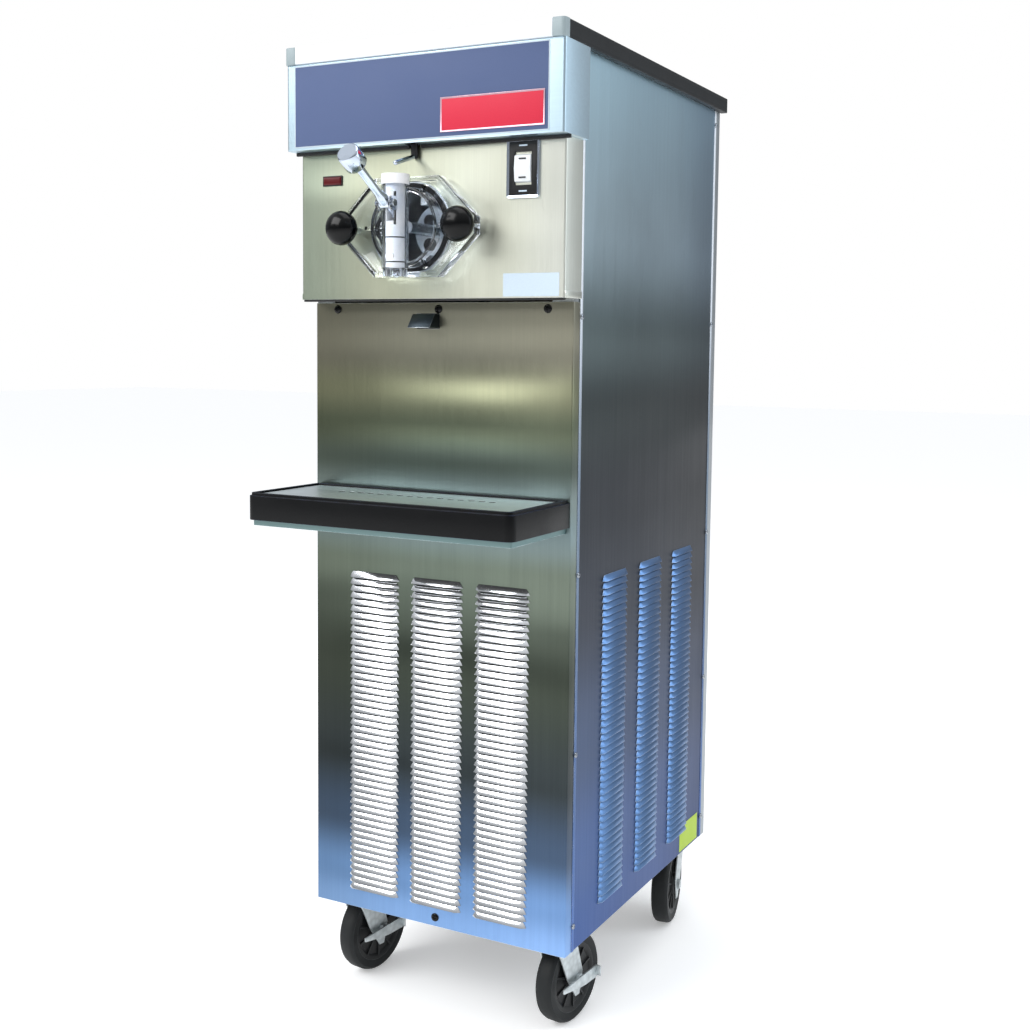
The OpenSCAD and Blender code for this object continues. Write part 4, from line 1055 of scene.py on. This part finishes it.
def make_labels():
    """The plain blank labels on the head panel and low on the right side."""
    x, z = head_hi.x - LABEL_W - 8, head_lo.z + 2
    label = block((x, head_lo.y - 0.25, z), (x + LABEL_W, head_lo.y + 0.05, z + LABEL_H), 0.1, 1)
    piece(label, "head_blank_label", label_vinyl)
    sticker = block((half_w - 0.05, STICKER_Y[0], STICKER_Z[0]),
                    (half_w + 0.25, STICKER_Y[1], STICKER_Z[1]), 0.1, 1)
    piece(sticker, "side_blank_sticker", sticker_vinyl)


# Dispensing door ------

DOOR_HALF_W, DOOR_HALF_H, DOOR_FLAT, CORNER_CUT = 112, 66.5, 51, 6
RIM_OUT = 5
BOWL_R, BOWL_WALL, BOWL_OUT = 48, 4, 12
STUD_X = 91
BARREL_BORE, BARREL_LOW, BARREL_HIGH = 13, -56, 53
STAR_R, STAR_REACH = 7.5, 10.5


def door_plate():
    """The octagonal plate, cut from a slab, with its raised rim; the door's centre is the origin."""
    reach = DOOR_HALF_W - CORNER_CUT
    slab = block((-reach, plate_front, -DOOR_HALF_H), (reach, plate_back, DOOR_HALF_H))
    run, rise = reach - DOOR_FLAT, DOOR_HALF_H - CORNER_CUT
    for sx in (-1, 1):
        for sz in (-1, 1):
            choose(slab, lambda face: True)
            bpy.ops.mesh.bisect(plane_co=(sx * DOOR_FLAT, 0, sz * DOOR_HALF_H),
                                plane_no=(sx * rise, 0, sz * run), use_fill=True, clear_outer=True)
            close_mesh()
    choose(slab, facing(1, -1))
    bpy.ops.mesh.inset(thickness=7)
    close_mesh()
    choose(slab, lambda face: face.normal.y < -0.9 and face.calc_center_median().length > 60)
    pull(0, -RIM_OUT, 0)
    close_mesh()
    return softened(slab, 1.4, 2)


def make_door():
    """The clear door: plate, bowl, ribs, barrel, web and lugs, less the bores, star outlet and stud holes."""
    door = door_plate()
    face = plate_front
    bowl = turned([(BOWL_R + BOWL_WALL, -face - 2), (BOWL_R + BOWL_WALL, BOWL_OUT - face - 1.5),
                   (BOWL_R + BOWL_WALL - 1.5, BOWL_OUT - face)], 72, FORWARD)
    cut(door, bowl, "UNION")
    for angle in range(30, 390, 60):
        rib = block((-2.5, face - 9, BOWL_R), (2.5, face + 1, DOOR_HALF_H - 4), 0.8, 2, along(2))
        cut(door, moved(rib, spun(angle, "Y")), "UNION")
    low, high, y = BARREL_LOW, BARREL_HIGH, barrel_y
    barrel = turned([(BARREL_BORE, low - 11), (16, low - 11), (16.5, low - 10), (16.5, low - 0.5), (18, low),
                     (18, high - 1), (17, high)], 64, (0, 0, 0), (0, y, 0))
    cut(door, barrel, "UNION")
    web = block((-9, y, low + 4), (9, face - BOWL_OUT + 1, high - 6), 1.5, 2, along(2))
    cut(door, web, "UNION")
    pivot = Vector((0, pin.y, pin.z - door_z))
    for s in (-1, 1):
        lug = block((-2, pivot.y - 7, -9), (2, y - 4, 9))
        round_off(lug, along(0, lambda mid: mid.y < pivot.y), 6, 5)
        cut(door, moved(lug, at(s * 10, 0, pivot.z)), "UNION")
    cut(door, turned([(BOWL_R, -5 - plate_back), (BOWL_R, BOWL_OUT - face - BOWL_WALL - 1),
                      (BOWL_R - 1, BOWL_OUT - face - BOWL_WALL)], 72, FORWARD))
    cut(door, turned([(BARREL_BORE, low), (BARREL_BORE, high + 5)], 64, (0, 0, 0), (0, y, 0)))
    cut(door, turned([(STAR_R, low - 16), (STAR_R, low + 4)], 36, (0, 0, 0), (0, y, 0)))
    for angle in (0, 60, 120):
        point = block((-STAR_REACH, -2, low - 16), (STAR_REACH, 2, low + 3))
        cut(door, moved(point, at(0, y, 0) @ spun(angle, "Z")))
    channel_r = 6
    channel = turned([(channel_r, -BOWL_OUT - 1), (channel_r, face - y - BOWL_OUT + BOWL_WALL + 1)],
                     32, BACKWARD, (0, y, low + 15))
    cut(door, channel)
    notch = block((-8, y - 36, pivot.z - 27), (8, y, pivot.z + 16))
    cut(door, notch)
    cut(door, turned([(3, -20), (3, 20)], 32, RIGHTWARD, tuple(pivot)))
    for s in (-1, 1):
        cut(door, turned([(5.05, -60), (5.05, 60)], 32, FORWARD, (s * STUD_X, 0, 0)))
        cut(door, turned([(12, -face), (12, 30 - face)], 40, FORWARD, (s * STUD_X, 0, 0)))
    moved(door, at(door_x, 0, door_z))
    piece(door, "clear_dispensing_door", clear, replaces=["dispense_door"], smooth=30)


def make_knobs():
    thick, wide = 17, 23.5
    steps = 22
    profile = []
    for i in range(1, steps):
        angle = math.pi * i / steps
        profile.append((wide * math.sin(angle), -thick * math.cos(angle)))
    ball = turned(profile, 56)
    neck = turned([(11, -22.5), (11, -12), (12, -8)], 40)
    cut(ball, neck, "UNION")
    cut(ball, turned([(4.8, -30), (4.8, 8.5)], 32))
    for side, node in (("left", "left_knob"), ("right", "right_knob")):
        lo, hi = span(node)
        place = at((lo.x + hi.x) / 2, lo.y + thick, (lo.z + hi.z) / 2)
        shape = copy_of(ball, place @ spun(90, "X"))
        piece(shape, side + "_ball_knob", knob_plastic, node, [node])
    bpy.data.objects.remove(ball)


HANDLE_RISE = math.radians(32)


def make_handle():
    up_forward = (math.pi / 2 - HANDLE_RISE, 0, 0)
    down_back = (-math.pi / 2 - HANDLE_RISE, 0, 0)
    rod = turned([(8, 4), (8, 9), (7.4, 14), (5.5, 22), (5.5, 75), (12, 75.6), (14.2, 77), (15, 78.5), (15, 99),
                  (14.4, 100.8), (13, 102)], 56, up_forward)
    boss = turned([(6, -7.7), (7, -6.9), (7, 6.9), (6, 7.7)], 48, RIGHTWARD)
    arm = turned([(4, 2), (4, 22), (3.4, 23)], 32, down_back)
    ball_profile = [(5 * math.sin(math.pi * i / 14), 26 - 5 * math.cos(math.pi * i / 14)) for i in range(1, 14)]
    ball = turned(ball_profile, 32, down_back)
    lever = joined(rod, boss, arm, ball)
    moved(lever, at(door_x, pin.y, pin.z))
    piece(lever, "dispensing_handle", chrome, "handle", ["dispense_handle"])
    profile = [(3.2, -15), (4.6, -14.6), (5, -13.8), (5, -12), (3, -12)]
    profile += there_and_back(profile)
    pivot = turned(profile, 32, RIGHTWARD, tuple(pin))
    piece(pivot, "handle_pivot_bolt", screw_steel, replaces=["handle_pivot_pin"])


def make_draw_lever():
    lo, hi = span("draw_switch_lever")
    hinge_y, hinge_z = head_lo.y - 5, shell_lo.z + 14
    x = (lo.x + hi.x) / 2
    tip_z = lo.z + 3
    strap_z = tip_z + 14
    strap = block((x - 5, hinge_y - 1.5, strap_z - 3), (x + 5, hinge_y + 1.5, hinge_z), 0.7, 2)
    eye = turned([(4.4, -7), (5, -6.4), (5, 6.4), (4.4, 7)], 32, RIGHTWARD, (x, hinge_y, hinge_z))
    stands_for = ["draw_switch_lever"]
    piece(joined(strap, eye), "draw_lever_strap", black_trim, "draw_lever", stands_for)
    run, drop = hinge_y - barrel_y, strap_z - tip_z
    length = math.hypot(run, drop)
    rod = turned([(3, -1), (3, length), (2.6, length + 1.5), (1.6, length + 2.5), (0.6, length + 2.9)], 24,
                 (math.pi / 2 + math.atan2(drop, run), 0, 0), (x, hinge_y, strap_z))
    piece(rod, "draw_lever_rod", chrome, "draw_lever", stands_for)


# Switch, lamp and drip drawer ------

WINDOW_W, WINDOW_H = 24.6, 42.6
ROCKER_W, ROCKER_H = 24, 40


def blank_bars(centre, y0, y1, apart, reach, half_h, bevel):
    """Two plain bars, one above and one below the centre."""
    return joined(*[block((centre.x - reach, y0, centre.z + s * apart - half_h),
                          (centre.x + reach, y1, centre.z + s * apart + half_h), bevel, 1) for s in (-1, 1)])


def make_switch():
    lo, hi = span("switch_bezel")
    mid = (lo + hi) / 2
    rim = block((lo.x, lo.y, lo.z), (hi.x, head_lo.y + 0.3, hi.z))
    round_off(rim, along(1), 4, 4)
    dish(rim, facing(1, -1), 3.2, (0, 1.2, 0))
    softened(rim, 0.6, 2, 30)
    window_x = (mid.x - WINDOW_W / 2, mid.x + WINDOW_W / 2)
    window_z = (mid.z - WINDOW_H / 2, mid.z + WINDOW_H / 2)
    cut(rim, block((window_x[0], lo.y - 5, window_z[0]), (window_x[1], head_lo.y + 5, window_z[1])))
    piece(rim, "switch_rim", chrome, replaces=["switch_bezel"])
    face_y = lo.y + 1.0
    plate = block((lo.x + 3.6, face_y, lo.z + 3.6), (hi.x - 3.6, face_y + 1.6, hi.z - 3.6), 0.3, 2)
    well = block((mid.x - 14.5, face_y + 0.5, mid.z - 22.5), (mid.x + 14.5, hi.y, mid.z + 22.5), 0.3, 1)
    cut(plate, well, "UNION")
    cut(plate, block((window_x[0], face_y - 5, window_z[0]), (window_x[1], head_lo.y + 11, window_z[1])))
    piece(plate, "switch_plate", black_plastic, replaces=["switch_bezel"])
    marks = blank_bars(mid, face_y - 0.15, face_y + 0.2, 29, 6, 1, 0.08)
    piece(marks, "switch_blank_marks", label_vinyl)
    rocker = block((mid.x - ROCKER_W / 2, head_lo.y - 6, mid.z - ROCKER_H / 2),
                   (mid.x + ROCKER_W / 2, head_lo.y + 5, mid.z + ROCKER_H / 2))
    for s in (-1, 1):
        shift(rocker, lambda v: v.co.y < head_lo.y and (v.co.z - mid.z) * s > 0, (0, 2.0, -s * 3.5))
    loop_cut(rocker, tuple(mid), (0, 0, 1))
    shift(rocker, lambda v: v.co.y < head_lo.y and abs(v.co.z - mid.z) < 0.1, (0, -1.9, 0))
    softened(rocker, 0.8, 3, 25)
    piece(rocker, "rocker_cap", white_plastic, "rocker", ["switch_rocker"])
    ticks = blank_bars(mid, head_lo.y - 5.6, head_lo.y - 4.4, 12, 5, 0.9, 0.1)
    piece(ticks, "rocker_ticks", black_plastic, "rocker")


def make_lamp():
    lo, hi = span("indicator_lens")
    face = lo.y
    base = block((lo.x, face + 1.6, lo.z), (hi.x, head_lo.y + 0.2, hi.z), 0.5, 2)
    lens = block((lo.x + 1.5, face, lo.z + 1.5), (hi.x - 1.5, head_lo.y + 6, hi.z - 1.5))
    choose(lens, facing(1, -1))
    bpy.ops.mesh.inset(thickness=1.8)
    close_mesh()
    shift(lens, lambda v: v.co.y < face + 0.1 and (v.co.x < lo.x + 2 or v.co.x > hi.x - 2 or v.co.z < lo.z + 2
                                                   or v.co.z > hi.z - 2), (0, 1.2, 0))
    softened(lens, 0.25, 2, 20)
    piece(base, "lamp_frame", black_plastic, replaces=["indicator_lens"])
    piece(lens, "lamp_lens", red_lens, replaces=["indicator_lens"])


def make_drip_drawer():
    lo, hi = span("drip_drawer")
    body = block(lo, hi)
    shift(body, lambda v: v.co.y < lo.y + 1 and v.co.z > hi.z - 1, (0, 14, 0))
    removed(body, facing(2, 1))
    with_wall(body, 1.4)
    softened(body, 0.4, 2, 50)
    piece(body, "drip_drawer_channel", drawer_steel, "drawer", ["drip_drawer"])


# Drip tray ------

# From the tray's outer edge inwards: the width of each step of its rim, and the rise at its end.
TRAY_STEPS = ((2.6, 4), (2.2, -2.2), (1.4, 2.2), (1.8, -4), (3, -30))


def make_tray():
    lo, hi = span("drip_tray")
    body = block(lo, (hi.x, hi.y, hi.z - 4))
    round_off(body, along(2, lambda mid: mid.y < lo.y + 1), 12, 8)
    choose(body, facing(2, 1))
    for inset, rise in TRAY_STEPS:
        bpy.ops.mesh.inset(thickness=inset)
        pull(0, 0, rise)
    close_mesh()
    softened(body, 0.5, 3, 40)
    piece(body, "drip_tray_moulding", tray_plastic, "tray", ["drip_tray"])


def make_insert():
    lo, hi = span("tray_insert")
    plate = removed(block(lo, hi), facing(2, -1))
    round_off(plate, along(2, lambda mid: mid.y < lo.y + 1), 4, 5)
    with_wall(plate, 0.5)
    holes, pitch = 16, 16
    row_y = span("drip_tray")[0].y * 0.36
    drill = turned([(5, lo.z - 3), (5, hi.z + 3)], 24, (0, 0, 0), (-(holes - 1) / 2 * pitch, row_y, 0))
    cut(plate, row_of(drill, holes, (pitch, 0, 0)))
    softened(plate, 0.3, 1, 60)
    piece(plate, "tray_insert_plate", insert_steel, "insert", ["tray_insert"])


def make_shelf():
    lo, hi = span("tray_shelf")
    skin = removed(block(lo, hi), facing(2, -1))
    removed(skin, facing(1, 1))
    round_off(skin, along(2, lambda mid: mid.y < lo.y + 1), 3, 3)
    with_wall(skin, SHEET)
    flange = block((lo.x, hi.y - SHEET, lo.z), (hi.x, hi.y, hi.z - 0.2), 0.3, 1)
    piece(joined(skin, flange), "tray_shelf_sheet", shelf_steel, replaces=["tray_shelf"])
    # A black damping pad under the shelf plate, also painted shade darkening the shelf's underside and its
    # reflections.
    pad = block((lo.x + 5, lo.y + 5, hi.z - SHEET - 3), (hi.x - 5, hi.y - 4, hi.z - SHEET), 0.8, 2)
    piece(pad, "shelf_damping_and_shade_pad", seal, replaces=["tray_shelf"])


# Casters ------

WHEEL_R, WHEEL_HALF, TRAIL, FORK_HALF, FORK_T = 63.5, 13.5, 34, 15.5, 3
# How far in from the cabinet's sides and ends the swivel axes stand.
CASTER_X, CASTER_Y = 40, 48


def caster_frame(corner):
    """From a caster's own frame, on its swivel axis, to its corner of the cabinet."""
    side = -1 if corner.endswith("l") else 1
    rear = corner.startswith("r")
    y = depth - CASTER_Y if rear else CASTER_Y
    return at(side * (half_w - CASTER_X), y, 0) @ spun(190 if rear else -8, "Z")


def axle_height():
    return middle("caster_wheel_fl").z


def fork_shape():
    """Crown, two tapering legs, axle bolt and nut."""
    top, axle = 9, axle_height()
    crown = turned([(12, top - 7.5), (29, top - 7), (30, top - 6), (30, top - 4.6), (28.5, top - 3),
                    (27.5, top - 0.6)], 48)
    yoke = block((-FORK_HALF - FORK_T, -22, top - 7), (FORK_HALF + FORK_T, 24, top - 4), 0.8, 2)
    legs = []
    for s in (-1, 1):
        leg = block((0, -22, axle - 24), (FORK_T, 26, top - 4))
        leg.data.transform(at(FORK_HALF if s > 0 else -FORK_HALF - FORK_T, 0, 0))
        shift(leg, lambda v: v.co.z < axle and v.co.y > 0, (0, TRAIL + 5 - 26, 0))
        shift(leg, lambda v: v.co.z < axle and v.co.y < 0, (0, TRAIL - 5 + 22, 0))
        loop_cut(leg, (0, 0, axle + 8), (0, 0, 1))
        shift(leg, lambda v: abs(v.co.z - axle - 8) < 0.5 and v.co.y > TRAIL - 6, (0, 12, 0))
        shift(leg, lambda v: abs(v.co.z - axle - 8) < 0.5 and v.co.y < TRAIL - 6, (0, -4, 0))
        legs.append(softened(leg, 1.0, 2, 30))
    outer = FORK_HALF + FORK_T
    bolt = turned([(5, -outer), (5, outer)], 24, RIGHTWARD, (0, TRAIL, axle))
    nut = [(7.6, -2.6), (8.2, -2.0), (8.2, 2.0), (7.6, 2.6)]
    nuts = [turned(nut, 6, RIGHTWARD, (s * (outer + 2.4), TRAIL, axle)) for s in (-1, 1)]
    return joined(crown, yoke, *legs, bolt, *nuts)


def wheel_shapes():
    """The tyre and the hub, round +X at the origin."""
    tyre_side = [(49, -12.2), (51, -WHEEL_HALF + 0.4), (WHEEL_R - 4.5, -WHEEL_HALF), (WHEEL_R - 1.2, -10.8),
                 (WHEEL_R, -7)]
    tyre_ring = turned(tyre_side + there_and_back(tyre_side), 72)
    cut(tyre_ring, turned([(48.5, -20), (48.5, 20)], 72))
    core_side = [(16, -WHEEL_HALF - 1.1), (17, -WHEEL_HALF - 0.6), (18, -10), (40, -9), (44, -12),
                 (48.6, -12.2)]
    core = turned(core_side + there_and_back(core_side), 72)
    for angle in range(0, 180, 36):
        for z in (-1, 1):
            web = block((-43, -1.2, 0), (43, 1.2, 3.2))
            lift = at(0, 0, 8.6 if z > 0 else -11.8)
            web.data.transform(spun(angle, "Z") @ lift)
            cut(core, web, "UNION")
    cut(core, turned([(5.05, -30), (5.05, 30)], 32))
    for shape in (tyre_ring, core):
        shape.data.transform(spun(90, "Y"))
    return tyre_ring, core


def brake_shape():
    """The pressed brake plate: a lobe one way, an arm with a turned-out foot pad the other."""
    x = FORK_HALF + FORK_T + 5.3
    plate = block((x, -46, -9), (x + 3, 38, 9))
    choose(plate, lambda v: v.co.y < -40, "VERT")
    bpy.ops.transform.resize(value=(1, 1, 0.35), center_override=(0, 0, 0))
    close_mesh()
    for y in (-8, 8):
        loop_cut(plate, (0, y, 0), (0, 1, 0))
    shift(plate, lambda v: abs(v.co.y) < 9 and v.co.z < 0, (0, 0, -3))
    pad = block((x + 0.2, 34.8, -6), (x + 10, 37.8, 9), 1.0, 2)
    return joined(softened(plate, 0.9, 2, 30), pad)


def make_casters():
    fork, (tyre_ring, core) = fork_shape(), wheel_shapes()
    at_axle = at(0, TRAIL, axle_height())
    for corner in ("fl", "fr", "rl", "rr"):
        place = caster_frame(corner)
        piece(copy_of(fork, place), "caster_fork_" + corner + "_pressing", zinc,
              "fork_" + corner, ["caster_fork_" + corner])
        for shape, name, finish, slot in ((tyre_ring, "tyre_", tyre, "tyre_rubber"),
                                          (core, "hub_", hub, "black_plastic")):
            piece(copy_of(shape, place @ at_axle), "caster_" + name + corner, finish,
                  "wheel_" + corner, ["caster_wheel_" + corner])
    for shape in (fork, tyre_ring, core):
        bpy.data.objects.remove(shape)
    brake = brake_shape()
    for corner in ("fl", "fr"):
        piece(copy_of(brake, caster_frame(corner) @ at_axle), "brake_pedal_" + corner, zinc,
              "brake_" + corner, ["caster_brake_" + corner])
    bpy.data.objects.remove(brake)


# Frame parts that keep their own shape ------

KEPT = {
    "base_frame": frame_steel, "corner_posts": galvanised, "mix_feed_tube": drawn_steel,
    "freezing_cylinder": drawn_steel, "insulation_jacket": foam, "dasher": drawn_steel,
    "scraper_blades": white_plastic, "door_gasket": seal, "plunger": plunger_white, "plunger_rings": seal,
    "drive_motor": machine_black, "motor_pulley": iron, "drive_belt": seal, "gearbox": iron,
    "gearbox_pulley": iron, "compressor": machine_black, "condenser": aluminium,
    "condenser_fan": aluminium, "fan_motor": machine_black, "refrigerant_lines": copper,
    "control_box": galvanised, "cord_gland": black_plastic, "caster_plates": zinc,
}


def finish_frame_parts():
    for node, finish in KEPT.items():
        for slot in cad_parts[node].material_slots:
            slot.material = finish


for make in (make_front_panel, make_side_panels, make_rear_panel, make_head_panel, make_header,
             make_trims, make_deck, make_hopper, make_lid, make_screws, make_labels, make_door, make_knobs,
             make_handle, make_draw_lever, make_switch, make_lamp, make_drip_drawer, make_tray,
             make_insert, make_shelf, make_casters, finish_frame_parts):
    make()
